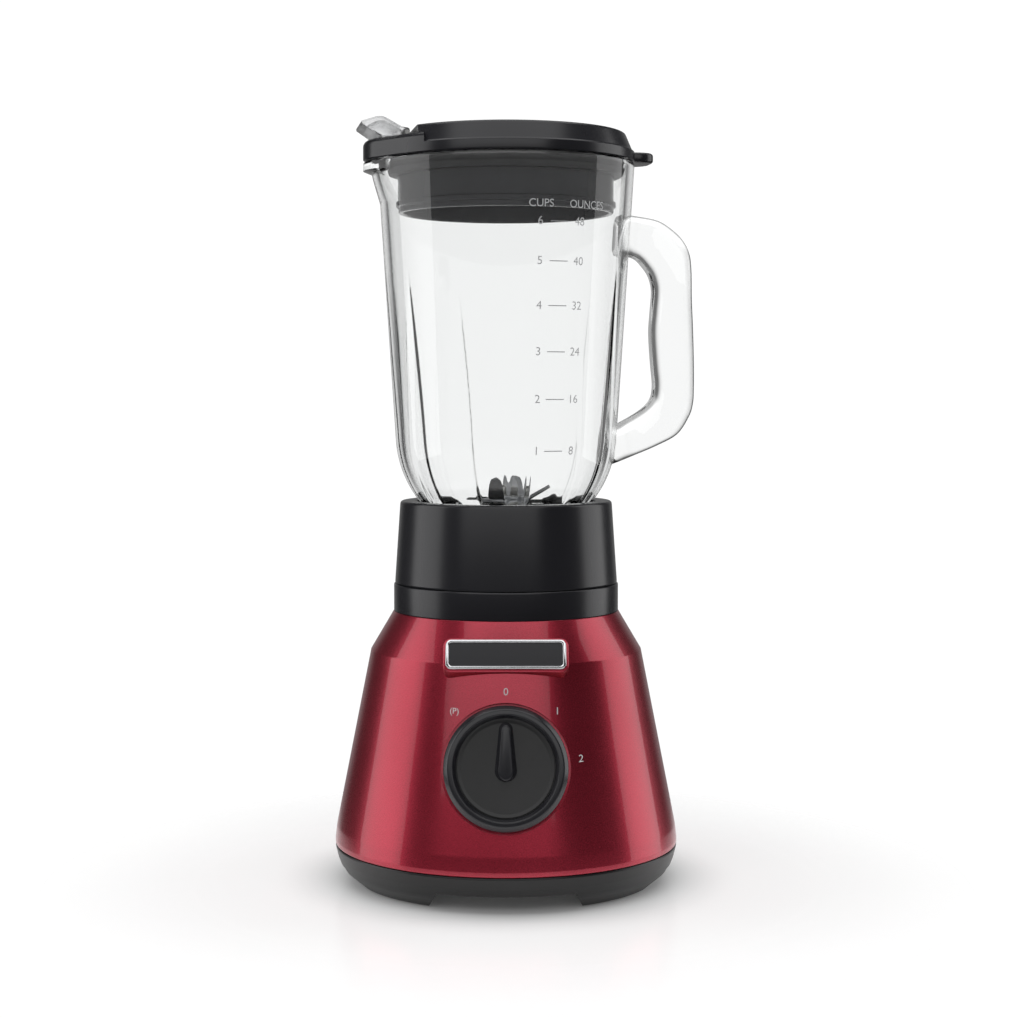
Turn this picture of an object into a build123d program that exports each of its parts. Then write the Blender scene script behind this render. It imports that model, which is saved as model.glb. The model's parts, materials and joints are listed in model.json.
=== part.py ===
from build123d import *
import os
from math import atan2, cos, degrees, radians, sin, sqrt

os.makedirs("parts", exist_ok=True)

# A countertop blender. The origin is on the motor's axis, on the surface that the blender stands on.
# +Z is up, the control knob faces -Y and the jar's handle points to +X, turned a little to the back.

# ---------------------------------------------------------------- driving dimensions, millimetres

# clearances
rest_gap = 0.3  # between pieces that rest on each other but belong to different bodies
running_gap = 0.05  # radial, shafts in bearings and pins in bores
screw_gap = 0.05  # radial, screws in their holes
press_gap = 0.01  # radial, pieces that are pressed together

# base: radii of the outline and heights of its bands
base_radius = 90.3
foot_height = 9.5
foot_setback = 10.8  # how far the feet's outer edge at the floor lies inside the base's radius
tray_height = 9.6
skirt_height = 9.8
skirt_step = 0.8
cone_height = 92.3
shoulder_radius = 71.4
shoulder_height = 20.3
housing_top_radius = 59.4
housing_wall = 2.8
tray_floor = 3.0
foot_width = 17.5  # radial, at the tray's underside
front_gap_low = 39.0  # half widths of the gaps between the feet, at the floor and at the tray
front_gap_high = 34.5
side_gap_low = 39.75
side_gap_high = 26.0
pad_radius = 7.0
pad_thickness = 2.4
pad_proud = 0.8
base_screw_radius = 2.0
base_screw_head = 4.0
screw_head_height = 2.4
post_radius = 5.5
post_length = 32.0

# jar seat
seat_height = 14.5
seat_floor = 3.0
boss_radius = 50.0
boss_height = 12.0
boss_wall = 3.2
spigot_length = 5.5
lug_count = 4
lug_width = 8.8
lug_height = 9.0
lug_depth = 2.5

# collar
collar_height = 43.2
collar_low_radius = 58.7
collar_top_radius = 55.9
collar_wall = 3.0
collar_web = 3.0
web_height = 20.7  # from the collar's lower edge to the web's underside
collar_roof = 4.0
collar_round = 1.8
key_gap = 0.6
key_width = 2.8

# jar
neck_radius = 45.8
neck_bead = 0.8
belly_height = 31.9  # collar's top to the end of the jar's rounded bottom
belly_radius = 58.3
jar_height = 145.8  # from there to the rim
rim_radius = 67.8
jar_wall = 4.0
rib_count = 12
rib_depth = 1.6
rib_width = 17.0
rib_height = 120.0
rib_turn = -3.0  # degrees, of the first rib from the handle
jar_turn = 9.0  # degrees, of the jar about its axis, towards the back
spout_reach = 75.5
spout_angle = 33.0  # degrees, half of the spout's spread
spout_height = 22.0
lip_height = 5.6
lip_overhang = 4.0
handle_width = 18.0
handle_reach = 101.6
gasket_thickness = 2.0
gasket_width = 6.5

# lid
flange_thickness = 5.2
crown_height = 15.2  # from the flange's underside to the crown's top
crown_low_radius = 67.0
crown_top_radius = 64.0
crown_flat = 51.0  # from the axis to the flat that faces the spout
hood_height = 10.5
lid_wall = 2.6
plug_radius = 56.7
plug_depth = 27.3
seal_height = 8.0
tab_reach = 78.3
tab_width = 26.0
flap_width = 34.0
flap_wall = 2.0
flap_peak = 22.0  # height over the flange's underside
flap_reach = 78.0
flap_pin_radius = 1.2
flap_ear = 2.4
window_count = 5
window_pitch = 5.0
window_width = 3.4
tab_round = 8.0
skirt_rib = 1.2

# blades
blade_shaft_radius = 4.0
holder_radius = 24.0
hub_radius = 12.5
hub_height = 19.0
blade_thickness = 1.6
blade_width = 12.0
coupling_radius = 14.0
coupling_teeth = 6
tooth_height = 5.6
tooth_length = 4.6
tooth_width = 3.6
tooth_mesh = 4.8
coupling_disc = 4.0

# knob and switch
knob_height = 71.5  # where its axis crosses the cone
knob_radius = 30.7
knob_gap = 1.5
knob_rise = 12.0
knob_face_radius = 24.6
knob_face_depth = 1.6
pointer_length = 19.0
pointer_low_radius = 5.4
pointer_top_radius = 3.4
knob_round = 2.6
knob_wall = 2.4
knob_hub_radius = 6.5
well_margin = 0.5
spindle_radius = 3.0
spindle_length = 27.0
switch_size = 30.0
switch_depth = 15.0
spindle_collar = 6.0
small_screw_radius = 1.5

# badge
badge_width = 60.0
badge_height = 15.9
badge_border = 1.7
badge_thickness = 1.4
badge_offset = 5.6  # down from the shoulder's middle
badge_seat = 0.6  # the pad's face over the shoulder's crown
badge_round = 2.8

# cord outlet
gland_height = 32.0
gland_radius = 6.0
gland_bore = 3.2
gland_flange = 8.5
gland_length = 12.0
gland_gap = 0.1
clamp_width = 30.0
clamp_depth = 9.0
clamp_height = 7.0
clamp_pitch = 22.0
clamp_setback = 26.0

# motor, from its lower end up
motor_floor_gap = 14.5
motor_shaft_radius = 4.0
fan_radius = 36.0
fan_height = 10.0
fan_blades = 9
fan_blade_thickness = 1.4
vent_count = 16
vent_width = 4.2
bracket_thickness = 3.0
bearing_radius = 8.0
bearing_height = 6.0
commutator_radius = 11.0
commutator_height = 10.0
brush_size = 6.0
brush_length = 14.0
holder_wall = 1.2
spring_length = 7.0
stack_height = 30.0
stator_length = 68.0
stator_width = 60.0
rotor_radius = 19.0
air_gap = 0.6
coil_depth = 6.0
coil_width = 8.0
winding_radius = 16.0
winding_height = 7.5
mount_radius = 43.5
motor_mount_height = 4.0
mount_pad_radius = 6.5

# ---------------------------------------------------------------- levels that follow from them

tray_under_z = foot_height
tray_floor_z = tray_under_z + tray_floor
parting_z = tray_under_z + tray_height
cone_z = parting_z + skirt_height
shoulder_z = cone_z + cone_height
housing_top_z = shoulder_z + shoulder_height
seat_top_z = housing_top_z + seat_height
collar_z = seat_top_z + rest_gap
collar_top_z = collar_z + collar_height
web_z = collar_z + web_height
web_top_z = web_z + collar_web
gasket_z = web_top_z + rest_gap
neck_z = gasket_z + gasket_thickness + rest_gap
belly_z = collar_top_z + belly_height
rim_z = belly_z + jar_height
flange_z = rim_z + rest_gap
crown_z = flange_z + crown_height
hood_z = flange_z + hood_height
hub_z = web_top_z + hub_height

cone_radius = base_radius - skirt_step
socket_radius = neck_radius + neck_bead + 0.6
jar_slope = (rim_radius - belly_radius) / jar_height

deck_z = housing_top_z + seat_height / 2  # underside of the seat's floor
drive_z = seat_top_z + 3.0  # lower face of the drive coupling
teeth_z = drive_z + coupling_disc
driven_z = teeth_z + tooth_mesh + 1.0  # lower face of the driven coupling's disc


def cone_radius_at(z):
    """Outer radius of the housing's cone at a height."""
    return cone_radius + (shoulder_radius - cone_radius) * (z - cone_z) / cone_height


def jar_radius_at(z):
    """Outer radius of the jar's straight wall at a height."""
    return belly_radius + (z - belly_z) * jar_slope


def sagitta(radius, half_width):
    """How far a round surface falls away at a half width from its crown."""
    return radius - sqrt(radius**2 - half_width**2)


def turned(profile_plane, angle):
    """The plane turned about the Z axis by an angle in degrees."""
    return Plane(
        origin=profile_plane.origin.rotate(Axis.Z, angle),
        x_dir=profile_plane.x_dir.rotate(Axis.Z, angle),
        z_dir=profile_plane.z_dir.rotate(Axis.Z, angle),
    )


def save(part, name):
    """Label one finished piece and write it to its own file."""
    part.label = name
    export_step(part, f"parts/{name}.step")


def ring(outer, inner, low, high):
    """A plain ring between two heights, or a disc when the inner radius is 0."""
    with BuildPart() as piece:
        with BuildSketch(Plane.XY.offset(low)):
            Circle(outer)
            if inner > 0:
                Circle(inner, mode=Mode.SUBTRACT)
        extrude(amount=high - low)
    return piece.part


def lathe(points):
    """A solid of revolution about Z, from its half outline as (radius, height) points."""
    with BuildPart() as piece:
        with BuildSketch(Plane.XZ):
            with BuildLine():
                Polyline(*points, close=True)
            make_face()
        revolve(axis=Axis.Z)
    return piece.part


# ---------------------------------------------------------------- housing and tray

housing_outline = [
    (0, parting_z),
    (base_radius, parting_z),
    (base_radius, parting_z + skirt_height * 0.3),
    (cone_radius, cone_z),
    (shoulder_radius, shoulder_z),
    (housing_top_radius, housing_top_z),
    (0, housing_top_z),
]
housing_solid = lathe(housing_outline)
spigot_radius = housing_top_radius - housing_wall - 3.8
housing_cavity = lathe(
    [
        (0, parting_z - 1),
        (base_radius - housing_wall, parting_z - 1),
        (base_radius - housing_wall, parting_z + skirt_height * 0.3),
        (cone_radius - housing_wall, cone_z),
        (shoulder_radius - housing_wall, shoulder_z - housing_wall / 3),
        (housing_top_radius - housing_wall, housing_top_z - housing_wall),
        (0, housing_top_z - housing_wall),
    ]
)

# the knob's plane touches the cone at the front, at the knob's height
cone_tilt = degrees(atan2(cone_radius - shoulder_radius, cone_height))
knob_crown = cone_radius_at(knob_height)
knob_normal = Vector(0, -cos(radians(cone_tilt)), sin(radians(cone_tilt)))
knob_plane = Plane(origin=(0, -knob_crown, knob_height), x_dir=(1, 0, 0), z_dir=knob_normal)
well_radius = knob_radius + knob_gap
well_depth = sagitta(knob_crown, well_radius) + well_margin
well_back = well_depth + housing_wall

# the badge's plane touches the shoulder at the front
shoulder_tilt = degrees(atan2(shoulder_radius - housing_top_radius, shoulder_height))
badge_z = (shoulder_z + housing_top_z) / 2 - badge_offset
shoulder_slope = (shoulder_radius - housing_top_radius) / shoulder_height
badge_crown = shoulder_radius - shoulder_slope * (badge_z - shoulder_z)
badge_normal = Vector(0, -cos(radians(shoulder_tilt)), sin(radians(shoulder_tilt)))
badge_plane = Plane(origin=(0, -badge_crown, badge_z), x_dir=(1, 0, 0), z_dir=badge_normal)
badge_pad_depth = sagitta(badge_crown, badge_width / 2) + 2.0

screw_circle = base_radius - 24.5
foot_angles = [45, 135, 225, 315]

with BuildPart() as well_cup:
    with BuildSketch(knob_plane.offset(-well_back)):
        Circle(well_radius + housing_wall)
    extrude(amount=well_back)
    add(housing_solid, mode=Mode.INTERSECT)

with BuildPart() as screw_posts:
    for angle in foot_angles:
        with BuildSketch(turned(Plane(origin=(screw_circle, 0, tray_floor_z)), angle)):
            Circle(post_radius)
        extrude(amount=post_length)
        with BuildSketch(turned(Plane(origin=(screw_circle, 0, parting_z + 4)), angle)):
            Rectangle(base_radius - screw_circle, housing_wall, align=(Align.MIN, Align.CENTER))
        extrude(amount=post_length - 8)

posts_in_shell = screw_posts.part & (housing_solid + ring(screw_circle + 8, 0, tray_floor_z, cone_z))

with BuildPart() as housing:
    add(housing_solid)
    add(housing_cavity, mode=Mode.SUBTRACT)
    add(ring(spigot_radius + 0.1, 0, housing_top_z - housing_wall - 1, housing_top_z + 1), mode=Mode.SUBTRACT)
    add(posts_in_shell)
    add(well_cup.part)
    with BuildSketch(knob_plane.offset(-well_depth)):
        Circle(well_radius)
    extrude(amount=well_depth + knob_rise, mode=Mode.SUBTRACT)
    with BuildSketch(knob_plane.offset(-well_depth)):
        Circle(spindle_radius + 1.0)
        with GridLocations(switch_size - 8, 0, 2, 1):
            Circle(small_screw_radius + screw_gap)
    extrude(amount=-housing_wall - 1, mode=Mode.SUBTRACT)
    with BuildSketch(badge_plane.offset(-badge_pad_depth)):
        RectangleRounded(badge_width + 1.6, badge_height + 1.6, 3.4)
    extrude(amount=badge_pad_depth + 0.6)
    for angle in foot_angles:
        with BuildSketch(turned(Plane(origin=(screw_circle, 0, tray_floor_z)), angle)):
            Circle(base_screw_radius + screw_gap)
        extrude(amount=post_length - 6, mode=Mode.SUBTRACT)
    with BuildSketch(Plane(origin=(0, 0, gland_height), x_dir=(1, 0, 0), z_dir=(0, 1, 0))):
        Circle(gland_radius + screw_gap)
    extrude(amount=base_radius + 10, mode=Mode.SUBTRACT)
save(housing.part, "housing")

tray_outline = [
    (base_radius, parting_z),
    (base_radius - 1.4, tray_under_z + 3.5),
    (base_radius - 3.7, tray_under_z - 2.3),
    (base_radius - 8.3, pad_proud + 2.5),
    (base_radius - foot_setback, pad_proud),
]
foot_inner = base_radius - foot_setback - foot_width

with BuildPart() as feet_gaps:
    for plane, low, high in (
        (Plane.XZ, front_gap_low, front_gap_high),
        (Plane.YZ, side_gap_low, side_gap_high),
    ):
        with BuildSketch(plane):
            with BuildLine():
                Polyline((-low, -1), (low, -1), (high, tray_under_z), (-high, tray_under_z), close=True)
            make_face()
        extrude(amount=base_radius + 5, both=True)

with BuildPart() as base_tray:
    with BuildSketch(Plane.XZ):
        with BuildLine():
            Polyline(
                (0, tray_under_z),
                (foot_inner - 3, tray_under_z),
                (foot_inner, pad_proud),
                *reversed(tray_outline),
                (base_radius - housing_wall, parting_z),
                (base_radius - housing_wall, tray_floor_z),
                (0, tray_floor_z),
                close=True,
            )
        make_face()
    revolve(axis=Axis.Z)
    add(feet_gaps.part, mode=Mode.SUBTRACT)
    # the lip that locates the housing
    add(
        ring(
            base_radius - housing_wall - 0.2,
            base_radius - housing_wall - 2.4,
            tray_floor_z - 1,
            parting_z + 3.5,
        )
    )
    for angle in foot_angles:
        with BuildSketch(turned(Plane(origin=(screw_circle, 0, pad_proud)), angle)):
            Circle(pad_radius + screw_gap)
        extrude(amount=pad_thickness - pad_proud, mode=Mode.SUBTRACT)
        with BuildSketch(turned(Plane(origin=(screw_circle, 0, pad_proud)), angle)):
            Circle(base_screw_head + 0.3)
        extrude(amount=pad_thickness - pad_proud + screw_head_height + 0.4, mode=Mode.SUBTRACT)
        with BuildSketch(turned(Plane(origin=(screw_circle, 0, pad_proud)), angle)):
            Circle(base_screw_radius + screw_gap)
        extrude(amount=tray_floor_z, mode=Mode.SUBTRACT)
    # cooling slots under the fan
    with BuildSketch(Plane.XY.offset(tray_floor_z + 1)):
        with PolarLocations((fan_radius + 12) / 2, vent_count):
            SlotOverall(fan_radius - 14, vent_width)
    extrude(amount=-tray_floor - 2, mode=Mode.SUBTRACT)
save(base_tray.part, "base_tray")

pad_names = {45: "rear_right", 135: "rear_left", 225: "front_left", 315: "front_right"}
for angle, place in pad_names.items():
    with BuildPart() as foot_pad:
        with BuildSketch(turned(Plane(origin=(screw_circle, 0, 0)), angle)):
            Circle(pad_radius)
        extrude(amount=pad_thickness)
        fillet(foot_pad.faces().sort_by(Axis.Z)[0].edges(), 0.6)
    save(foot_pad.part, f"foot_pad_{place}")

with BuildPart() as tray_screws:
    for angle in foot_angles:
        with BuildSketch(turned(Plane(origin=(screw_circle, 0, pad_thickness + 0.2)), angle)):
            Circle(base_screw_head)
        extrude(amount=screw_head_height)
        with BuildSketch(turned(Plane(origin=(screw_circle, 0, pad_thickness + 0.2)), angle)):
            Circle(base_screw_radius)
        extrude(amount=tray_floor_z + post_length - 14 - pad_thickness)
save(tray_screws.part, "tray_screws")

# ---------------------------------------------------------------- badge

insert_width = badge_width - 2 * badge_border
insert_height = badge_height - 2 * badge_border
insert_round = badge_round - 1.0

with BuildPart() as badge_frame:
    with BuildSketch(badge_plane.offset(badge_seat)):
        RectangleRounded(badge_width, badge_height, badge_round)
        RectangleRounded(insert_width, insert_height, insert_round, mode=Mode.SUBTRACT)
    extrude(amount=badge_thickness)
    fillet(badge_frame.faces().filter_by(badge_plane).sort_by(Axis.Y)[0].edges(), 0.4)
save(badge_frame.part, "badge_frame")

with BuildPart() as badge_plate:
    with BuildSketch(badge_plane.offset(badge_seat)):
        RectangleRounded(insert_width - 2 * screw_gap, insert_height - 2 * screw_gap, insert_round)
    extrude(amount=badge_thickness - 0.5)
save(badge_plate.part, "badge_plate")

# ---------------------------------------------------------------- knob and switch

knob_back = well_depth - well_margin
with BuildPart() as knob:
    with BuildSketch(knob_plane.offset(-knob_back)):
        Circle(knob_radius)
    extrude(amount=knob_back + knob_rise)
    fillet(knob.faces().filter_by(knob_plane).sort_by(Axis.Y)[0].edges(), knob_round)
    # the dished face, with the pointer standing in it
    with BuildSketch(knob_plane.offset(knob_rise)):
        Circle(knob_face_radius)
    extrude(amount=-knob_face_depth - 2, taper=12, mode=Mode.SUBTRACT)
    with BuildSketch(knob_plane.offset(knob_rise - knob_face_depth - 2.5)):
        with Locations((0, -1)):
            Circle(pointer_low_radius)
        with Locations((0, pointer_length)):
            Circle(pointer_top_radius)
        with BuildLine():
            Polyline(
                (-pointer_low_radius, -1),
                (pointer_low_radius, -1),
                (pointer_top_radius, pointer_length),
                (-pointer_top_radius, pointer_length),
                close=True,
            )
        make_face()
    extrude(amount=knob_face_depth + 4.0, taper=4)
    # the hollow behind the face and the hub that takes the spindle
    with BuildSketch(knob_plane.offset(-knob_back)):
        Circle(knob_radius - knob_wall)
        Circle(knob_hub_radius, mode=Mode.SUBTRACT)
    extrude(amount=knob_back + knob_rise - knob_face_depth - 5.5, mode=Mode.SUBTRACT)
    with BuildSketch(knob_plane.offset(-knob_back)):
        Circle(spindle_radius + press_gap)
    extrude(amount=14, mode=Mode.SUBTRACT)
save(knob.part, "knob")

with BuildPart() as switch_spindle:
    with BuildSketch(knob_plane.offset(-knob_back + 13.5)):
        Circle(spindle_radius)
    extrude(amount=-spindle_length)
    with BuildSketch(knob_plane.offset(-well_back - 6)):
        Circle(spindle_collar)
    extrude(amount=-3)
save(switch_spindle.part, "switch_spindle")

with BuildPart() as rotary_switch:
    with BuildSketch(knob_plane.offset(-well_back)):
        RectangleRounded(switch_size, switch_size, 3)
    extrude(amount=-switch_depth)
    with BuildSketch(knob_plane.offset(-well_back)):
        Circle(spindle_radius + running_gap)
    extrude(amount=-switch_depth, mode=Mode.SUBTRACT)
    with BuildSketch(knob_plane.offset(-well_back - 5)):
        Circle(spindle_collar + rest_gap)
    extrude(amount=-5, mode=Mode.SUBTRACT)
    with BuildSketch(knob_plane.offset(-well_back)):
        with GridLocations(switch_size - 8, 0, 2, 1):
            Circle(small_screw_radius + screw_gap)
    extrude(amount=-9, mode=Mode.SUBTRACT)
    with BuildSketch(knob_plane.offset(-well_back - switch_depth)):
        with GridLocations(6, 14, 4, 2):
            Rectangle(3.6, 0.8)
    extrude(amount=-6)
save(rotary_switch.part, "rotary_switch")

with BuildPart() as switch_screws:
    with BuildSketch(knob_plane.offset(-well_depth)):
        with GridLocations(switch_size - 8, 0, 2, 1):
            Circle(small_screw_radius)
    extrude(amount=-housing_wall - 8)
    with BuildSketch(knob_plane.offset(-well_depth - housing_wall + 2.0)):
        with GridLocations(switch_size - 8, 0, 2, 1):
            Circle(1.0)
    extrude(amount=0.5)
save(switch_screws.part, "switch_screws")

# ---------------------------------------------------------------- cord outlet

gland_face = cone_radius_at(gland_height)
gland_plane = Plane(origin=(0, 0, gland_height), x_dir=(1, 0, 0), z_dir=(0, 1, 0))
gland_seat = gland_flange * (cone_radius - shoulder_radius) / cone_height + gland_gap
with BuildPart() as cord_gland:
    with BuildSketch(gland_plane.offset(gland_face - housing_wall - 3.0)):
        Circle(gland_radius)
    extrude(amount=gland_length - 3.0)
    with BuildSketch(gland_plane.offset(gland_face + gland_seat)):
        Circle(gland_flange)
    extrude(amount=2.2)
    with BuildSketch(gland_plane.offset(gland_face - housing_wall - 3.0)):
        Circle(gland_bore)
    extrude(amount=gland_length + 5, mode=Mode.SUBTRACT)
save(cord_gland.part, "cord_gland")

clamp_y = gland_face - clamp_setback
with BuildPart() as cord_clamp:
    with BuildSketch(Plane.XY.offset(tray_floor_z)):
        with Locations((0, clamp_y)):
            Rectangle(clamp_width, clamp_depth)
    extrude(amount=clamp_height)
    with BuildSketch(Plane(origin=(0, clamp_y, tray_floor_z), x_dir=(1, 0, 0), z_dir=(0, -1, 0))):
        Circle(gland_bore)
    extrude(amount=6, both=True, mode=Mode.SUBTRACT)
    with BuildSketch(Plane.XY.offset(tray_floor_z)):
        with Locations((0, clamp_y)):
            with GridLocations(clamp_pitch, 0, 2, 1):
                Circle(small_screw_radius + screw_gap)
    extrude(amount=clamp_height, mode=Mode.SUBTRACT)
save(cord_clamp.part, "cord_clamp")

with BuildPart() as clamp_screws:
    with BuildSketch(Plane.XY.offset(tray_floor_z)):
        with Locations((0, clamp_y)):
            with GridLocations(clamp_pitch, 0, 2, 1):
                Circle(small_screw_radius)
    extrude(amount=clamp_height)
    with BuildSketch(Plane.XY.offset(tray_floor_z + clamp_height)):
        with Locations((0, clamp_y)):
            with GridLocations(clamp_pitch, 0, 2, 1):
                Circle(2 * small_screw_radius)
    extrude(amount=1.8)
save(clamp_screws.part, "clamp_screws")

# ---------------------------------------------------------------- jar seat

motor_low_z = tray_floor_z + motor_floor_gap
fan_z = motor_low_z + 1.0
lower_bracket_z = fan_z + fan_height + 4.0
lower_bearing_z = lower_bracket_z + 1.0
brush_low_z = lower_bracket_z + bracket_thickness + 9.0
brush_z = brush_low_z + brush_size / 2 + holder_wall + screw_gap
commutator_z = brush_z - commutator_height / 2
lower_winding_z = commutator_z + commutator_height + 1.0
stack_z = lower_winding_z + winding_height
stack_top_z = stack_z + stack_height
upper_winding_top_z = stack_top_z + winding_height
upper_bearing_z = upper_winding_top_z + 2.5
upper_bracket_z = upper_bearing_z + bearing_height - bracket_thickness + 1.0
mount_z = upper_bracket_z + bracket_thickness
mount_top_z = mount_z + motor_mount_height

with BuildPart() as jar_seat:
    add(
        lathe(
            [
                (spigot_radius, housing_top_z - spigot_length),
                (spigot_radius, housing_top_z),
                (housing_top_radius - 0.1, housing_top_z),
                (housing_top_radius - 0.1, seat_top_z - 1),
                (housing_top_radius - 1.1, seat_top_z),
                (boss_radius, seat_top_z),
                (boss_radius, seat_top_z + boss_height - 1),
                (boss_radius - 1, seat_top_z + boss_height),
                (boss_radius - boss_wall, seat_top_z + boss_height),
                (boss_radius - boss_wall, deck_z + seat_floor),
                (9.0, deck_z + seat_floor),
                (9.0, drive_z - 1.2),
                (6.5, drive_z - 1.2),
                (6.5, deck_z),
                (spigot_radius - 3.0, deck_z),
                (spigot_radius - 3.0, housing_top_z - spigot_length),
            ]
        )
    )
    with BuildSketch(Plane.XY.offset(seat_top_z)):
        with PolarLocations(boss_radius - 1.0, lug_count, start_angle=45):
            Rectangle(lug_depth + 1.0, lug_width, align=(Align.MIN, Align.CENTER))
    extrude(amount=lug_height)
    with BuildSketch(Plane.XY.offset(mount_top_z)):
        with PolarLocations(mount_radius, 4, start_angle=45):
            Circle(post_radius)
    extrude(amount=deck_z + 1 - mount_top_z)
    with BuildSketch(Plane.XY.offset(mount_top_z)):
        with PolarLocations(mount_radius, 4, start_angle=45):
            Circle(base_screw_radius + screw_gap)
    extrude(amount=13, mode=Mode.SUBTRACT)
save(jar_seat.part, "jar_seat")

# ---------------------------------------------------------------- motor

with BuildPart() as motor_shaft:
    add(ring(motor_shaft_radius, 0, motor_low_z, teeth_z - 1.0))
    chamfer(motor_shaft.edges().filter_by(GeomType.CIRCLE), 0.5)
save(motor_shaft.part, "motor_shaft")

with BuildPart() as cooling_fan:
    add(ring(motor_shaft_radius + 4, motor_shaft_radius, fan_z, fan_z + fan_height))
    add(ring(fan_radius, motor_shaft_radius, fan_z + fan_height - 1.6, fan_z + fan_height))
    for turn in range(fan_blades):
        with BuildSketch(turned(Plane(origin=(0, 0, fan_z)), 360 / fan_blades * turn)):
            with Locations(((fan_radius + motor_shaft_radius) / 2 + 1, 0)):
                Rectangle(fan_radius - motor_shaft_radius - 3, fan_blade_thickness, rotation=12)
        extrude(amount=fan_height - 1)
save(cooling_fan.part, "cooling_fan")


def bearing(low):
    """A plain bearing ring with a shoulder, its bore running on the motor's shaft."""
    with BuildPart() as piece:
        add(ring(bearing_radius, motor_shaft_radius + running_gap, low, low + bearing_height))
        chamfer(piece.edges().filter_by(GeomType.CIRCLE).sort_by(SortBy.RADIUS)[-2:], 0.4)
    return piece.part


save(bearing(lower_bearing_z), "lower_bearing")
save(bearing(upper_bearing_z), "upper_bearing")

bolt_x = stator_length / 2 - 4.5
holder_reach = commutator_radius + 1.2
holder_end = holder_reach + brush_length + spring_length - 1.0

with BuildPart() as lower_bracket:
    with BuildSketch(Plane.XY.offset(lower_bracket_z)):
        Rectangle(16, 2 * holder_end)
        Circle(bearing_radius + 5)
        Rectangle(2 * bolt_x + 10, 14)
    extrude(amount=bracket_thickness)
    add(ring(bearing_radius + 3, 0, lower_bracket_z, lower_bearing_z + bearing_height))
    for side in (-1, 1):
        with BuildSketch(Plane.XY.offset(lower_bracket_z + bracket_thickness)):
            with Locations((0, side * (holder_end - 7))):
                Rectangle(10, 10)
        extrude(amount=brush_low_z - lower_bracket_z - bracket_thickness)
    add(
        ring(bearing_radius + press_gap, 0, lower_bearing_z, lower_bearing_z + bearing_height + 1),
        mode=Mode.SUBTRACT,
    )
    add(ring(motor_shaft_radius + 1, 0, lower_bracket_z - 1, lower_bearing_z + 1), mode=Mode.SUBTRACT)
    with BuildSketch(Plane.XY.offset(lower_bracket_z)):
        with GridLocations(2 * bolt_x, 0, 2, 1):
            Circle(base_screw_radius + screw_gap)
    extrude(amount=bracket_thickness, mode=Mode.SUBTRACT)
save(lower_bracket.part, "lower_bracket")

with BuildPart() as upper_bracket:
    with BuildSketch(Plane.XY.offset(upper_bracket_z)):
        RectangleRounded(stator_length, stator_width, 6)
        with PolarLocations(mount_radius, 4, start_angle=45):
            Circle(mount_pad_radius)
        for turn in (45, -45):
            Rectangle(2 * mount_radius, 2 * mount_pad_radius, rotation=turn)
        with GridLocations(stator_length - 22, stator_width - 28, 2, 2):
            Circle(5.0, mode=Mode.SUBTRACT)
    extrude(amount=bracket_thickness)
    add(ring(bearing_radius + 3, 0, upper_bearing_z, upper_bracket_z))
    add(
        ring(bearing_radius + press_gap, 0, upper_bearing_z - 1, upper_bearing_z + bearing_height),
        mode=Mode.SUBTRACT,
    )
    add(ring(motor_shaft_radius + 1, 0, upper_bracket_z, mount_z + 1), mode=Mode.SUBTRACT)
    with BuildSketch(Plane.XY.offset(upper_bracket_z)):
        with PolarLocations(mount_radius, 4, start_angle=45):
            Circle(base_screw_radius + screw_gap)
        with GridLocations(2 * bolt_x, 0, 2, 1):
            Circle(base_screw_radius + screw_gap)
    extrude(amount=bracket_thickness, mode=Mode.SUBTRACT)
save(upper_bracket.part, "upper_bracket")

with BuildPart() as motor_mounts:
    with BuildSketch(Plane.XY.offset(mount_z)):
        with PolarLocations(mount_radius, 4, start_angle=45):
            Circle(mount_pad_radius)
            Circle(base_screw_radius + screw_gap, mode=Mode.SUBTRACT)
    extrude(amount=motor_mount_height)
save(motor_mounts.part, "motor_mounts")

with BuildPart() as mount_screws:
    with BuildSketch(Plane.XY.offset(upper_bracket_z)):
        with PolarLocations(mount_radius, 4, start_angle=45):
            Circle(base_screw_head)
    extrude(amount=-screw_head_height)
    with BuildSketch(Plane.XY.offset(upper_bracket_z)):
        with PolarLocations(mount_radius, 4, start_angle=45):
            Circle(base_screw_radius)
    extrude(amount=bracket_thickness + motor_mount_height + 11)
save(mount_screws.part, "mount_screws")

with BuildPart() as motor_bolts:
    with BuildSketch(Plane.XY.offset(lower_bracket_z)):
        with GridLocations(2 * bolt_x, 0, 2, 1):
            Circle(base_screw_radius)
    extrude(amount=upper_bracket_z + bracket_thickness - lower_bracket_z)
    with BuildSketch(Plane.XY.offset(lower_bracket_z)):
        with GridLocations(2 * bolt_x, 0, 2, 1):
            RegularPolygon(3.6, 6)
    extrude(amount=-screw_head_height)
save(motor_bolts.part, "motor_bolts")

coil_inner_x = rotor_radius - 4.0
coil_y = rotor_radius + air_gap + 2.6
window_gap = 0.4

with BuildPart() as stator_core:
    with BuildSketch(Plane.XY.offset(stack_z)):
        RectangleRounded(stator_length, stator_width, 5)
        Circle(rotor_radius + air_gap, mode=Mode.SUBTRACT)
        for side in (-1, 1):
            with Locations((0, side * (coil_y + coil_depth / 2))):
                with GridLocations(2 * coil_inner_x + coil_width, 0, 2, 1):
                    Rectangle(coil_width + 2 * window_gap, coil_depth + 2 * window_gap, mode=Mode.SUBTRACT)
        with GridLocations(2 * bolt_x, 0, 2, 1):
            Circle(base_screw_radius + screw_gap, mode=Mode.SUBTRACT)
    extrude(amount=stack_height)
save(stator_core.part, "stator_core")

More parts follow.
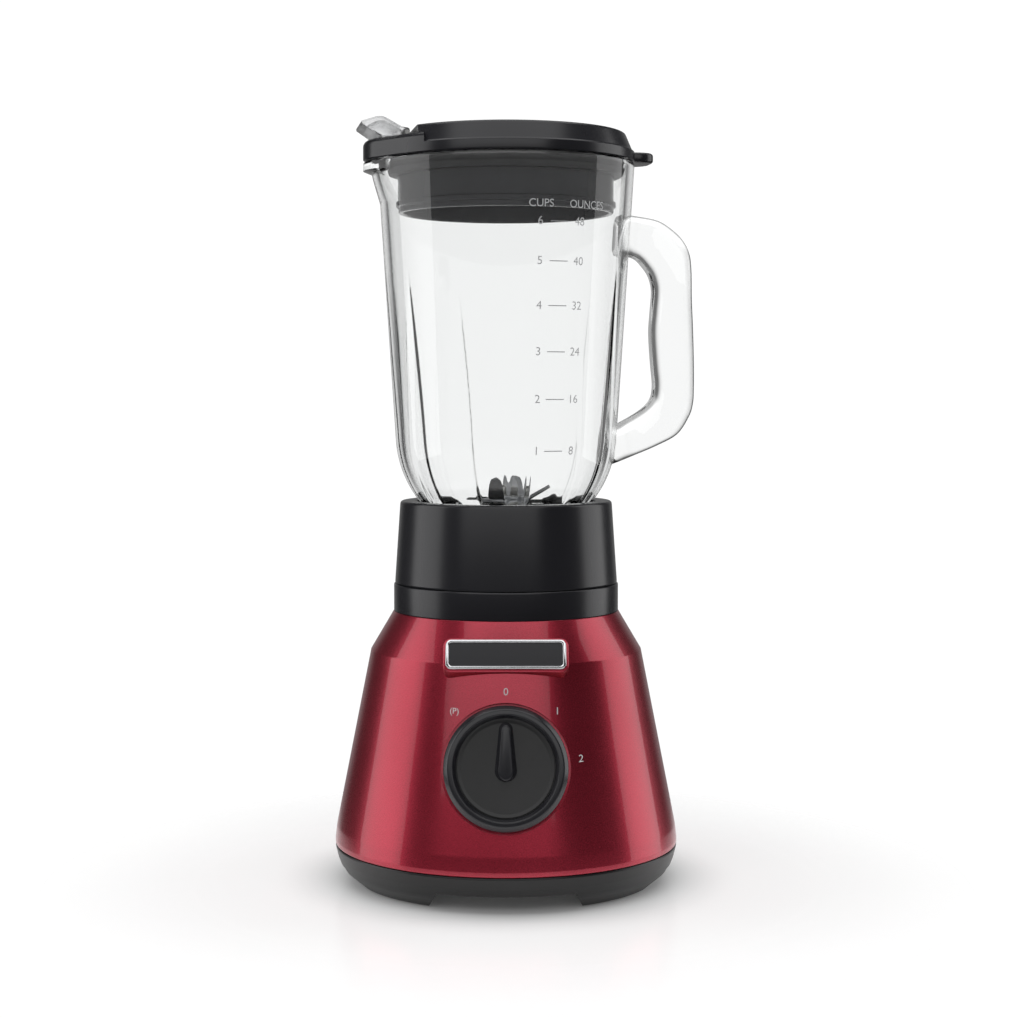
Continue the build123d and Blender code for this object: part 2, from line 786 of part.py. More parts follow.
for side, place in ((-1, "front"), (1, "rear")):
    with BuildPart() as field_coil:
        coil_centre = (0, side * coil_y, stack_z + stack_height / 2)
        with BuildSketch(Plane(origin=coil_centre, x_dir=(1, 0, 0), z_dir=(0, side, 0))):
            RectangleRounded(2 * (coil_inner_x + coil_width), stack_height + 2 * winding_height - 1, 5)
            RectangleRounded(2 * coil_inner_x, stack_height + 1, 1, mode=Mode.SUBTRACT)
        extrude(amount=coil_depth)
    save(field_coil.part, f"field_coil_{place}")

with BuildPart() as rotor_core:
    add(ring(rotor_radius, motor_shaft_radius, stack_z, stack_top_z))
    with BuildSketch(Plane.XY.offset(stack_z)):
        with PolarLocations(rotor_radius, 12):
            Rectangle(5.0, 1.6)
    extrude(amount=stack_height, mode=Mode.SUBTRACT)
save(rotor_core.part, "rotor_core")

with BuildPart() as armature_winding:
    for low, high in ((lower_winding_z, stack_z), (stack_top_z, upper_winding_top_z)):
        add(ring(winding_radius, motor_shaft_radius, low, high))
    winding_rims = armature_winding.edges().filter_by(GeomType.CIRCLE).group_by(SortBy.RADIUS)[-1]
    fillet(winding_rims, 2.0)
save(armature_winding.part, "armature_winding")

with BuildPart() as commutator:
    add(ring(commutator_radius, motor_shaft_radius, commutator_z, commutator_z + commutator_height))
    with BuildSketch(Plane.XY.offset(commutator_z)):
        with PolarLocations(commutator_radius, 12, start_angle=15):
            Rectangle(1.6, 0.6)
    extrude(amount=commutator_height, mode=Mode.SUBTRACT)
save(commutator.part, "commutator")

for side, place in ((-1, "front"), (1, "rear")):
    brush_tip = (0, side * (commutator_radius + rest_gap), brush_z)
    brush_face = Plane(origin=brush_tip, x_dir=(1, 0, 0), z_dir=(0, side, 0))
    tube_size = brush_size + 2 * (holder_wall + screw_gap)
    with BuildPart() as brush_holder:
        with BuildSketch(brush_face.offset(1.0)):
            Rectangle(tube_size, tube_size)
            Rectangle(brush_size + 2 * screw_gap, brush_size + 2 * screw_gap, mode=Mode.SUBTRACT)
        extrude(amount=brush_length + spring_length - 1.0)
        with BuildSketch(brush_face.offset(brush_length + spring_length)):
            Rectangle(tube_size, tube_size)
        extrude(amount=1.2)
    save(brush_holder.part, f"brush_holder_{place}")
    with BuildPart() as brush:
        with BuildSketch(brush_face):
            Rectangle(brush_size, brush_size)
        extrude(amount=brush_length)
    save(brush.part, f"brush_{place}")
    with BuildPart() as brush_spring:
        with BuildSketch(brush_face.offset(brush_length)):
            Circle(2.6)
            Circle(1.9, mode=Mode.SUBTRACT)
        extrude(amount=spring_length)
    save(brush_spring.part, f"brush_spring_{place}")


tooth_circle = coupling_radius - tooth_length / 2 - rest_gap


def coupling_tooth_ring(low, high, first_angle):
    """The teeth of one half of the drive, as separate blocks on a circle."""
    with BuildPart() as teeth:
        with BuildSketch(Plane.XY.offset(low)):
            with PolarLocations(tooth_circle, coupling_teeth, start_angle=first_angle):
                Rectangle(tooth_length, tooth_width)
        extrude(amount=high - low)
    return teeth.part


tooth_pitch = 360 / coupling_teeth
with BuildPart() as drive_coupling:
    add(ring(coupling_radius, motor_shaft_radius, drive_z, teeth_z))
    add(ring(motor_shaft_radius + 3, 0, teeth_z - 1, teeth_z + 1.5))
    add(coupling_tooth_ring(teeth_z - 0.5, teeth_z + tooth_height, 0))
    add(ring(motor_shaft_radius, 0, drive_z - 1, teeth_z - 1), mode=Mode.SUBTRACT)
save(drive_coupling.part, "drive_coupling")

# ---------------------------------------------------------------- jar collar and blade unit

key_length = collar_low_radius - boss_radius - 2.0
with BuildPart() as jar_collar:
    add(
        lathe(
            [
                (collar_low_radius, collar_z),
                (collar_top_radius, collar_top_z),
                (socket_radius, collar_top_z),
                (socket_radius, web_top_z),
                (hub_radius + 1.0, web_top_z),
                (hub_radius + 1.0, web_z),
                (socket_radius + collar_wall, web_z),
                (socket_radius + collar_wall, collar_top_z - collar_roof),
                (collar_top_radius - collar_wall, collar_top_z - collar_roof),
                (collar_low_radius - collar_wall, collar_z),
            ]
        )
    )
    collar_rim = jar_collar.edges().filter_by(GeomType.CIRCLE).group_by(Axis.Z)[-1].sort_by(SortBy.RADIUS)[-1]
    fillet(collar_rim, collar_round)
    # keys that stand on both sides of each lug of the seat
    with BuildSketch(Plane.XY.offset(collar_z + 0.7)):
        for index in range(lug_count):
            with Locations(Location((0, 0, 0), (0, 0, 45 + 360 / lug_count * index))):
                for side in (-1, 1):
                    with Locations((boss_radius + key_gap, side * (lug_width / 2 + key_gap + key_width / 2))):
                        Rectangle(key_length, key_width, align=(Align.MIN, Align.CENTER))
    extrude(amount=web_height - 1.5)
save(jar_collar.part, "jar_collar")

with BuildPart() as jar_gasket:
    add(ring(neck_radius, neck_radius - gasket_width, gasket_z, gasket_z + gasket_thickness))
    fillet(jar_gasket.edges(), 0.5)
save(jar_gasket.part, "jar_gasket")

bearing_outer = blade_shaft_radius + 3.0
holder_low_z = driven_z + coupling_disc + 1.2
seal_z = hub_z - 5.0
with BuildPart() as blade_holder:
    add(
        lathe(
            [
                (hub_radius, holder_low_z),
                (hub_radius, web_top_z),
                (holder_radius, web_top_z),
                (holder_radius, web_top_z + 1.2),
                (hub_radius + 4.5, web_top_z + 3.0),
                (hub_radius, hub_z - 6.0),
                (hub_radius - 3.0, hub_z - 1.0),
                (hub_radius - 5.0, hub_z),
                (blade_shaft_radius + 1.0, hub_z),
                (blade_shaft_radius + 1.0, seal_z + 3.0),
                (bearing_outer, seal_z + 3.0),
                (bearing_outer, holder_low_z),
            ]
        )
    )
save(blade_holder.part, "blade_holder")

save(ring(bearing_outer, blade_shaft_radius + running_gap, holder_low_z + 1.0, seal_z), "blade_bearing")
save(ring(bearing_outer, blade_shaft_radius + 0.1, seal_z, seal_z + 3.0), "shaft_seal")

with BuildPart() as holder_nut:
    with BuildSketch(Plane.XY.offset(holder_low_z + 0.3)):
        RegularPolygon(hub_radius + 7.0, 6)
        Circle(hub_radius, mode=Mode.SUBTRACT)
    extrude(amount=web_z - holder_low_z - 0.3)
save(holder_nut.part, "holder_nut")

with BuildPart() as driven_coupling:
    add(ring(coupling_radius, 0, driven_z, driven_z + coupling_disc))
    add(coupling_tooth_ring(teeth_z + 0.8, driven_z + 1, tooth_pitch / 2))
    add(ring(blade_shaft_radius, 0, driven_z + 1, driven_z + coupling_disc + 1), mode=Mode.SUBTRACT)
save(driven_coupling.part, "driven_coupling")

blade_z = hub_z + 0.8
blade_stack_z = blade_z + 2 * blade_thickness
with BuildPart() as blade_shaft:
    add(ring(blade_shaft_radius, 0, driven_z + 1, blade_stack_z + 4.6))
save(blade_shaft.part, "blade_shaft")


def blade(low, arms):
    """A steel blade with arms bent at its hub: (angle, hub reach, tip radius, tip rise) each."""
    with BuildPart() as piece:
        add(ring(8.5, blade_shaft_radius, low, low + blade_thickness))
        for angle, reach, tip, rise in arms:
            add(blade_arm(low, reach, tip, rise).rotate(Axis.Z, angle))
        add(ring(blade_shaft_radius, 0, low - 1, low + 3), mode=Mode.SUBTRACT)
    return piece.part


def blade_arm(low, reach, tip, rise):
    """One bent arm along +X, tapered to its tip."""
    with BuildPart() as arm:
        with BuildSketch(Plane.XZ):
            with BuildLine():
                Polyline(
                    (5, low),
                    (reach, low),
                    (tip, low + rise),
                    (tip - 0.4, low + rise + blade_thickness),
                    (reach - 0.6, low + blade_thickness),
                    (5, low + blade_thickness),
                    close=True,
                )
            make_face()
        extrude(amount=blade_width / 2, both=True)
        with BuildSketch(Plane.XY.offset(low - 20)):
            with BuildLine():
                Polyline(
                    (4, -blade_width / 2),
                    (reach, -blade_width / 2),
                    (tip, -blade_width / 8),
                    (tip, blade_width / 4),
                    (reach, blade_width / 2),
                    (4, blade_width / 2),
                    close=True,
                )
            make_face()
        extrude(amount=60, mode=Mode.INTERSECT)
    return arm.part


save(blade(blade_z + blade_thickness, ((-112, 9.5, 17.0, 10.5), (68, 9.5, 17.0, 10.5))), "upper_blade")
save(blade(blade_z, ((-12, 10.0, 23.5, 7.5), (168, 10.0, 25.0, -0.5))), "lower_blade")

save(ring(6.5, blade_shaft_radius + press_gap, blade_stack_z, blade_stack_z + 0.8), "blade_washer")

with BuildPart() as blade_nut:
    with BuildSketch(Plane.XY.offset(blade_stack_z + 0.8)):
        RegularPolygon(6.2, 6)
    extrude(amount=4.8)
    with BuildSketch(Plane.XY.offset(blade_stack_z + 0.8)):
        Circle(blade_shaft_radius)
    extrude(amount=3.8, mode=Mode.SUBTRACT)
    chamfer(blade_nut.faces().sort_by(Axis.Z)[-1].edges(), 0.8)
save(blade_nut.part, "blade_nut")

# ---------------------------------------------------------------- jar

handle_plane = turned(Plane.XZ, jar_turn)
neck_top_z = collar_top_z - 0.5


def jar_form(inset, low, high):
    """The space inside the jar's outline, moved in by an inset, between two heights."""
    with BuildPart() as form:
        with BuildSketch(Plane.XZ):
            with BuildLine():
                belly = (belly_radius - inset, belly_z)
                neck_top = (neck_radius - inset, neck_top_z)
                neck_low = (neck_radius - inset, low)
                top = (jar_radius_at(high) - inset, high)
                TangentArc(belly, neck_top, tangent=(-jar_slope, -1))
                Polyline(neck_top, neck_low, (0, low), (0, high), top, belly)
            make_face()
        revolve(axis=Axis.Z)
    return form.part


def beak_face(height, radius, reach):
    """A round outline with a beak towards the spout, in the jar's own turned frame."""
    spread = radians(spout_angle)
    tip_radius = (radius - reach * cos(spread)) / (1 - cos(spread))
    centre = reach - tip_radius
    to_spout = Vector(-1, 0, 0).rotate(Axis.Z, jar_turn)
    with BuildSketch(Plane(origin=(0, 0, height), x_dir=to_spout)) as outline:
        with BuildLine():
            a = (radius * cos(spread), radius * sin(spread))
            b = (centre + tip_radius * cos(spread), tip_radius * sin(spread))
            ThreePointArc(a, (-radius, 0), (a[0], -a[1]))
            Line((a[0], -a[1]), (b[0], -b[1]))
            ThreePointArc((b[0], -b[1]), (reach, 0), b)
            Line(b, a)
        make_face()
    return outline.sketch


spout_z = rim_z - spout_height
lip_z = rim_z - lip_height


def spout_form(inset, over):
    """The flared top of the jar, moved in by an inset and lengthened upwards."""
    with BuildPart() as form:
        low_radius = jar_radius_at(spout_z) - inset
        lip_radius = jar_radius_at(lip_z) - inset
        with BuildSketch():
            add(beak_face(spout_z, low_radius, low_radius + 0.4))
        mouth = beak_face(lip_z, lip_radius, spout_reach - lip_overhang - inset)
        with BuildSketch():
            add(mouth)
        loft(ruled=True)
        add(extrude(mouth, amount=rim_z + over - lip_z))
    return form.part


with BuildPart() as spout_shell:
    add(spout_form(0, 0))
    # the lip around the spout's mouth
    with BuildSketch(Plane.XY.offset(lip_z)):
        add(beak_face(lip_z, jar_radius_at(lip_z), spout_reach))
    extrude(amount=lip_height)

# the handle is a bent bar of solid glass, drawn from the rim down in the plane that the jar turns with it
grip_top_z = rim_z - 26.0
grip_low_z = belly_z - 12.4
handle_outline = [
    (rim_radius - 8, grip_top_z + 1),
    (rim_radius + 2, grip_top_z),
    (handle_reach - 20.7, grip_top_z - 3),
    (handle_reach - 7.1, grip_top_z - 13),
    (handle_reach - 2.2, grip_top_z - 24.7),
    (handle_reach - 1.7, grip_top_z - 45),
    (handle_reach, grip_low_z + 39),
    (handle_reach - 1.7, grip_low_z + 28),
    (handle_reach - 9.8, grip_low_z + 15),
    (belly_radius - 0.7, grip_low_z),
    (belly_radius - 8, grip_low_z + 4),
    (belly_radius - 8, grip_low_z + 20),
    (belly_radius + 2, grip_low_z + 20),
    (handle_reach - 28.8, grip_low_z + 28),
    (handle_reach - 23.4, grip_low_z + 33.5),
    (handle_reach - 21.8, grip_low_z + 41.5),
    (handle_reach - 23.9, grip_top_z - 61),
    (handle_reach - 22.3, grip_top_z - 39.5),
    (handle_reach - 23.4, grip_top_z - 34),
    (handle_reach - 28.8, grip_top_z - 26),
    (rim_radius - 0.4, grip_top_z - 22),
    (rim_radius - 8, grip_top_z - 22),
]
with BuildPart() as handle:
    with BuildSketch(handle_plane):
        with BuildLine():
            Polyline(*handle_outline, close=True)
        make_face()
    extrude(amount=handle_width / 2, both=True)
    handle_sides = handle.faces().filter_by(handle_plane)
    chamfer(handle_sides.edges(), 4.0)

rib_root = jar_form(jar_wall - 1.5, neck_top_z - 2, spout_z)
rib_band = rib_root - jar_form(jar_wall + rib_depth, neck_top_z - 3, spout_z + 1)
with BuildPart() as rib_wedges:
    for index in range(rib_count):
        angle = jar_turn + rib_turn + 360 / rib_count * index
        with BuildSketch(turned(Plane.YZ, angle)):
            with BuildLine():
                Polyline(
                    (-rib_width / 2, collar_top_z + 2),
                    (rib_width / 2, collar_top_z + 2),
                    (0.4, collar_top_z + rib_height),
                    (-0.4, collar_top_z + rib_height),
                    close=True,
                )
            make_face()
        extrude(amount=rim_radius)
ribs = rib_band & rib_wedges.part

with BuildPart() as jar_glass:
    add(jar_form(0, neck_z, rim_z))
    add(spout_shell.part)
    add(handle.part)
    for bead in (0.35, 0.75):
        bead_z = neck_z + (neck_top_z - neck_z) * bead
        add(ring(neck_radius + neck_bead, neck_radius - 1, bead_z, bead_z + 1.6))
    add(jar_form(jar_wall, neck_z - 1, rim_z + 1), mode=Mode.SUBTRACT)
    add(spout_form(jar_wall, 1), mode=Mode.SUBTRACT)
    add(ribs)
save(jar_glass.part, "jar_glass")

# ---------------------------------------------------------------- lid

spout_side = turned(Plane.YZ, jar_turn)  # its normal points from the axis towards the handle


def beyond(distance, low, high):
    """A block that holds everything further than a distance towards the spout."""
    with BuildPart() as block:
        with BuildSketch(spout_side.offset(-distance)):
            with Locations((0, (low + high) / 2)):
                Rectangle(4 * rim_radius, high - low)
        extrude(amount=-2 * rim_radius)
    return block.part


crown_step_z = flange_z + flange_thickness
with BuildPart() as lid_crown:
    add(
        lathe(
            [
                (0, flange_z),
                (rim_radius, flange_z),
                (rim_radius, crown_step_z - 0.8),
                (crown_low_radius, crown_step_z),
                (crown_top_radius, crown_z - 1.2),
                (crown_top_radius - 1.6, crown_z - 0.3),
                (0, crown_z),
            ]
        )
    )
    add(beyond(crown_flat, crown_step_z - 1, crown_z + 1), mode=Mode.SUBTRACT)

hood_block = extrude(beak_face(flange_z, rim_radius, spout_reach), amount=hood_height) & beyond(
    crown_flat - 2, flange_z - 1, hood_z + 1
)
window_low = plug_radius + 1.5
window_high = rim_radius - 0.5
flap_pin_reach = crown_flat + flap_ear + 0.8
flap_pin_z = hood_z + flap_ear + 0.5

with BuildPart() as lid_cover:
    add(lid_crown.part)
    add(hood_block)
    # thumb tab, opposite the spout
    with BuildSketch(Plane(origin=(0, 0, flange_z + 0.4), x_dir=Vector(1, 0, 0).rotate(Axis.Z, jar_turn))):
        with Locations((tab_reach / 2, 0)):
            RectangleRounded(tab_reach, tab_width, tab_round)
    extrude(amount=flange_thickness)
    # the plug that drops into the jar, closed above by the crown
    add(ring(plug_radius, 0, flange_z - plug_depth, flange_z + 1))
    add(ring(plug_radius + skirt_rib, plug_radius - 1, flange_z - plug_depth + 3, flange_z - plug_depth + 6))
    add(ring(plug_radius - lid_wall, 0, flange_z - plug_depth - 1, crown_step_z), mode=Mode.SUBTRACT)
    add(
        ring(plug_radius - lid_wall, 0, crown_step_z - 1, crown_z - lid_wall - 0.4)
        - beyond(crown_flat - lid_wall, crown_step_z - 2, crown_z),
        mode=Mode.SUBTRACT,
    )
    # pouring window with bars, and the notch in the plug that leads to it
    with BuildSketch(Plane(origin=(0, 0, hood_z + 1), x_dir=Vector(-1, 0, 0).rotate(Axis.Z, jar_turn))):
        with Locations(((window_low + window_high) / 2, 0)):
            with GridLocations(0, window_pitch, 1, window_count):
                SlotOverall(window_high - window_low, window_width)
    extrude(amount=-hood_height - 2, mode=Mode.SUBTRACT)
    # the lug that carries the flap's pin
    with BuildSketch(turned(Plane.XZ, jar_turn)):
        with Locations((-flap_pin_reach, flap_pin_z)):
            Circle(flap_ear)
        with Locations((-flap_pin_reach, (hood_z + flap_pin_z) / 2 - 0.5)):
            Rectangle(2 * flap_ear, flap_pin_z - hood_z + 1)
    extrude(amount=flap_width / 2 - 8, both=True)
    with BuildSketch(turned(Plane.XZ, jar_turn)):
        with Locations((-flap_pin_reach, flap_pin_z)):
            Circle(flap_pin_radius)
    extrude(amount=flap_width, both=True, mode=Mode.SUBTRACT)
save(lid_cover.part, "lid_cover")

seal_outer = jar_radius_at(flange_z - seal_height) - jar_wall - rest_gap
save(ring(seal_outer, plug_radius, flange_z - seal_height, flange_z), "lid_seal")

with BuildPart() as flap_hinge_pin:
    with BuildSketch(turned(Plane.XZ, jar_turn)):
        with Locations((-flap_pin_reach, flap_pin_z)):
            Circle(flap_pin_radius)
    extrude(amount=flap_width / 2 - 0.5, both=True)
save(flap_hinge_pin.part, "flap_hinge_pin")

flap_low_z = hood_z + 0.4
flap_outline = [
    (-flap_pin_reach, flap_pin_z + flap_ear),
    (-rim_radius + 1.5, flange_z + flap_peak - 0.8),
    (-rim_radius - 1.0, flange_z + flap_peak - 0.6),
    (-flap_reach, flange_z + flap_peak - 3.2),
    (-flap_reach + 0.6, flange_z + flap_peak - 4.6),
    (-rim_radius - 0.5, flap_low_z),
    (-flap_pin_reach, flap_low_z),
]


def flap_form(inset, half_width, drop):
    """The flap's wedge, moved in by an inset and lengthened downwards."""
    with BuildPart() as form:
        with BuildSketch(turned(Plane.XZ, jar_turn)):
            with BuildLine():
                Polyline(*flap_outline, close=True)
            make_face()
            if inset > 0:
                offset(amount=-inset, mode=Mode.REPLACE)
        extrude(amount=half_width, both=True)
        if drop > 0:
            add(form.part.moved(Location((0, 0, -drop))))
    return form.part


with BuildPart() as pour_flap:
    add(flap_form(0, flap_width / 2, 0))
    with BuildSketch(turned(Plane.XZ, jar_turn)):
        with Locations((-flap_pin_reach, flap_pin_z)):
            Circle(flap_ear)
    extrude(amount=flap_width / 2, both=True)
    add(flap_form(flap_wall, flap_width / 2 - flap_wall, 3), mode=Mode.SUBTRACT)
    # room for the lug between the two ears
    with BuildSketch(turned(Plane.XZ, jar_turn)):
        with Locations((-flap_pin_reach, flap_pin_z)):
            Circle(flap_ear + 1.0)
            Rectangle(2 * flap_ear + 2.0, 4 * flap_ear)
    extrude(amount=flap_width / 2 - 7.6, both=True, mode=Mode.SUBTRACT)
    with BuildSketch(turned(Plane.XZ, jar_turn)):
        with Locations((-flap_pin_reach, flap_pin_z)):
            Circle(flap_pin_radius + running_gap)
    extrude(amount=flap_width, both=True, mode=Mode.SUBTRACT)
save(pour_flap.part, "pour_flap")
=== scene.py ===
import json
import logging
import math
from dataclasses import dataclass
from enum import Enum
from typing import Callable, Iterable, Optional, Sequence, Union

import bmesh
import bpy
from mathutils import Matrix, Vector


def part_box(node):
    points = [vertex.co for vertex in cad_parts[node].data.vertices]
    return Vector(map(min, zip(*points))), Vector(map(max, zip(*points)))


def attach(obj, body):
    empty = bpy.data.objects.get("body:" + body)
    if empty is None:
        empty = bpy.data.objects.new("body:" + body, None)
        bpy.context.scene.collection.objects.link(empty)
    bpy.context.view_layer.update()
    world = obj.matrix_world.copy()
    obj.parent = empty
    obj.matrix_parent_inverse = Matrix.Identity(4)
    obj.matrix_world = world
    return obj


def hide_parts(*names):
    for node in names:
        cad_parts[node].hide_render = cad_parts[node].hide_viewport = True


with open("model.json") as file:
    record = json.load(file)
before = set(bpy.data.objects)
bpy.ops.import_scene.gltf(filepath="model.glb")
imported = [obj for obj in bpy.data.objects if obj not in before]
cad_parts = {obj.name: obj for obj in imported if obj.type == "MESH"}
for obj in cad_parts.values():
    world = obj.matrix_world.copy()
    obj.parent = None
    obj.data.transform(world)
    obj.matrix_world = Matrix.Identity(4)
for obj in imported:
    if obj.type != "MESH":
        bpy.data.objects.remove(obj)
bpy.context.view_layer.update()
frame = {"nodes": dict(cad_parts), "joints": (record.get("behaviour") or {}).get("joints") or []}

MM = 0.001
ROUND_STEPS = 240
FAR = 120.0
log = logging.getLogger("countertop_blender")
Point = tuple[float, float]
Point3 = tuple[float, float, float]


# ------------------------------------------------------------------ shader maths


class Socket:
    """A node's output, with arithmetic that adds Math nodes."""

    def __init__(self, shader: "Shader", link: bpy.types.NodeSocket) -> None:
        """Keep the socket and the shader that it belongs to."""
        self.shader = shader
        self.link = link

    def maths(self, operation: str, other: Union["Socket", float]) -> "Socket":
        """Add one Math node that starts from this socket.

        Args:
            operation: the node's operation, such as MULTIPLY.
            other: the second input.

        Returns:
            The node's output.
        """
        return self.shader.node("ShaderNodeMath", {"operation": operation}, [self, other])

    def __add__(self, other: Union["Socket", float]) -> "Socket":
        """Sum."""
        return self.maths("ADD", other)

    def __mul__(self, other: Union["Socket", float]) -> "Socket":
        """Product."""
        return self.maths("MULTIPLY", other)

    def __rsub__(self, other: float) -> "Socket":
        """A number less this socket."""
        return (self * -1.0) + other

    def ramp(self, low: float, high: float, start: float = 0.0, end: float = 1.0) -> "Socket":
        """Turn the stretch from low to high into start to end, smoothly.

        Args:
            low: the value that becomes start.
            high: the value that becomes end.
            start: the result up to low.
            end: the result from high on.

        Returns:
            The eased value.
        """
        inputs = {"Value": self, "From Min": low, "From Max": high, "To Min": start, "To Max": end}
        return self.shader.node("ShaderNodeMapRange", {"interpolation_type": "SMOOTHSTEP"}, inputs)


class Shader:
    """The node tree of one material or of the world."""

    def __init__(self, name: str, world: bool = False) -> None:
        """Start an empty tree.

        Args:
            name: the name of the material or world that holds it.
            world: whether a world holds it.
        """
        self.owner = (bpy.data.worlds if world else bpy.data.materials).new(name)
        self.owner.use_nodes = True
        self.tree = self.owner.node_tree
        self.tree.nodes.clear()

    def node(
        self,
        kind: str,
        settings: Optional[dict[str, object]] = None,
        inputs: Union[Sequence[object], dict[Union[int, str], object], None] = None,
        output: Union[int, str] = 0,
    ) -> Socket:
        """Add any node.

        Args:
            kind: the node's type.
            settings: its properties, set first.
            inputs: values or sockets, by order or by name.
            output: which output to return.

        Returns:
            That output.
        """
        made = self.tree.nodes.new(kind)
        for key, value in (settings or {}).items():
            setattr(made, key, value)
        pairs = inputs.items() if isinstance(inputs, dict) else enumerate(inputs or [])
        for key, value in pairs:
            if isinstance(value, Socket):
                self.tree.links.new(value.link, made.inputs[key])
            else:
                made.inputs[key].default_value = value
        return Socket(self, made.outputs[output])

    def place(self) -> Socket:
        """The piece's own coordinates, in metres."""
        return self.node("ShaderNodeTexCoord", output="Object")

    def noise(self, scale: float, detail: float = 2.0, stretch: Optional[Vector] = None) -> Socket:
        """Noise on the piece's own coordinates.

        Args:
            scale: how fine it is, per metre.
            detail: how many octaves.
            stretch: factors along X, Y and Z.

        Returns:
            The noise's value.
        """
        where = self.place()
        if stretch is not None:
            where = self.node("ShaderNodeMapping", inputs={"Vector": where, "Scale": stretch})
        return self.node("ShaderNodeTexNoise", inputs={"Vector": where, "Scale": scale, "Detail": detail})

    def blend(self, factor: Socket, low: Sequence[float], high: Sequence[float]) -> Socket:
        """Mix two colours.

        Args:
            factor: 0 gives the first colour and 1 the second.
            low: the first colour.
            high: the second colour.

        Returns:
            The mixed colour.
        """
        inputs = {"Factor": factor, 6: (*low, 1.0), 7: (*high, 1.0)}
        return self.node("ShaderNodeMix", {"data_type": "RGBA"}, inputs, 2)

    def bump(self, height: Socket, distance: float) -> Socket:
        """Turn a height into a surface normal.

        Args:
            height: the height's socket.
            distance: how far a height of 1 stands out, in metres.

        Returns:
            The normal.
        """
        return self.node("ShaderNodeBump", inputs={"Height": height, "Distance": distance})

    def surface(self, **inputs: object) -> bpy.types.Material:
        """Close the tree with one Principled shader.

        Args:
            inputs: the shader's sockets, with underscores for spaces.

        Returns:
            The material.
        """
        named = {key.replace("_", " "): value for key, value in inputs.items()}
        shader = self.node("ShaderNodeBsdfPrincipled", inputs=named)
        out = self.tree.nodes.new("ShaderNodeOutputMaterial")
        self.tree.links.new(shader.link, out.inputs["Surface"])
        return self.owner


# ------------------------------------------------------------------ finishes


@dataclass(frozen=True)
class MetallicLacquer:
    """Glossy lacquer with fine metal flakes under a clear coat."""

    name: str = "red_lacquer"
    deep: tuple[float, float, float] = (0.36, 0.020, 0.040)
    bright: tuple[float, float, float] = (0.48, 0.034, 0.064)

    def make(self) -> bpy.types.Material:
        """Build the material."""
        s = Shader(self.name)
        flake = s.noise(5200.0, 1.0).ramp(0.42, 0.62)
        cloud = s.noise(14.0, 2.0).ramp(0.3, 0.7)
        colour = s.blend((flake * 0.55) + (cloud * 0.45), self.deep, self.bright)
        peel = s.noise(420.0, 2.0)
        return s.surface(
            Base_Color=colour,
            Metallic=0.80,
            Roughness=(flake * 0.05) + 0.27,
            Coat_Weight=0.5,
            Coat_Roughness=0.045,
            Normal=s.bump(peel, 0.000012),
        )


@dataclass(frozen=True)
class MouldedPlastic:
    """Opaque moulded plastic, from gloss to satin."""

    name: str
    colour: tuple[float, float, float] = (0.004, 0.004, 0.0042)
    roughness: float = 0.13
    grain: float = 900.0
    grain_depth: float = 0.000003
    coat: float = 0.0

    def make(self) -> bpy.types.Material:
        """Build the material."""
        s = Shader(self.name)
        cloud = s.noise(26.0, 3.0)
        grain = s.noise(self.grain, 2.0)
        lighter = tuple(min(1.0, c * 1.3 + 0.0006) for c in self.colour)
        return s.surface(
            Base_Color=s.blend(cloud.ramp(0.35, 0.7), self.colour, lighter),
            Roughness=(cloud * 0.06) + (self.roughness - 0.03),
            Coat_Weight=self.coat,
            Coat_Roughness=0.04,
            Normal=s.bump(grain, self.grain_depth),
        )


@dataclass(frozen=True)
class ClearGlass:
    """Clear pressed glass or clear plastic, with faint pressing waves."""

    name: str
    tint: tuple[float, float, float] = (0.985, 0.992, 0.99)
    index: float = 1.5
    roughness: float = 0.0
    wave: float = 0.00001

    def make(self) -> bpy.types.Material:
        """Build the material."""
        s = Shader(self.name)
        waves = s.noise(60.0, 1.0, Vector((1.0, 1.0, 0.35)))
        return s.surface(
            Base_Color=(*self.tint, 1.0),
            Roughness=self.roughness,
            IOR=self.index,
            Transmission_Weight=1.0,
            Normal=s.bump(waves, self.wave),
        )


@dataclass(frozen=True)
class BrushedMetal:
    """Bare metal with fine grinding lines along one axis."""

    name: str
    colour: tuple[float, float, float] = (0.62, 0.62, 0.63)
    roughness: float = 0.22
    lines: tuple[float, float, float] = (0.06, 1.0, 1.0)
    fineness: float = 2600.0
    depth: float = 0.000006

    def make(self) -> bpy.types.Material:
        """Build the material."""
        s = Shader(self.name)
        line = s.noise(self.fineness, 2.0, Vector(self.lines))
        darker = tuple(c * 0.82 for c in self.colour)
        return s.surface(
            Base_Color=s.blend(line, darker, self.colour),
            Metallic=1.0,
            Roughness=(line * 0.14) + (self.roughness - 0.07),
            Normal=s.bump(line, self.depth),
        )


@dataclass(frozen=True)
class PrintedInk:
    """Flat screen-printed ink."""

    name: str
    colour: tuple[float, float, float] = (0.86, 0.86, 0.86)

    def make(self) -> bpy.types.Material:
        """Build the material."""
        s = Shader(self.name)
        speck = s.noise(2400.0, 2.0)
        paler = tuple(min(1.0, c * 1.06) for c in self.colour)
        return s.surface(
            Base_Color=s.blend(speck, self.colour, paler),
            Roughness=(speck * 0.1) + 0.5,
            Normal=s.bump(speck, 0.000003),
        )


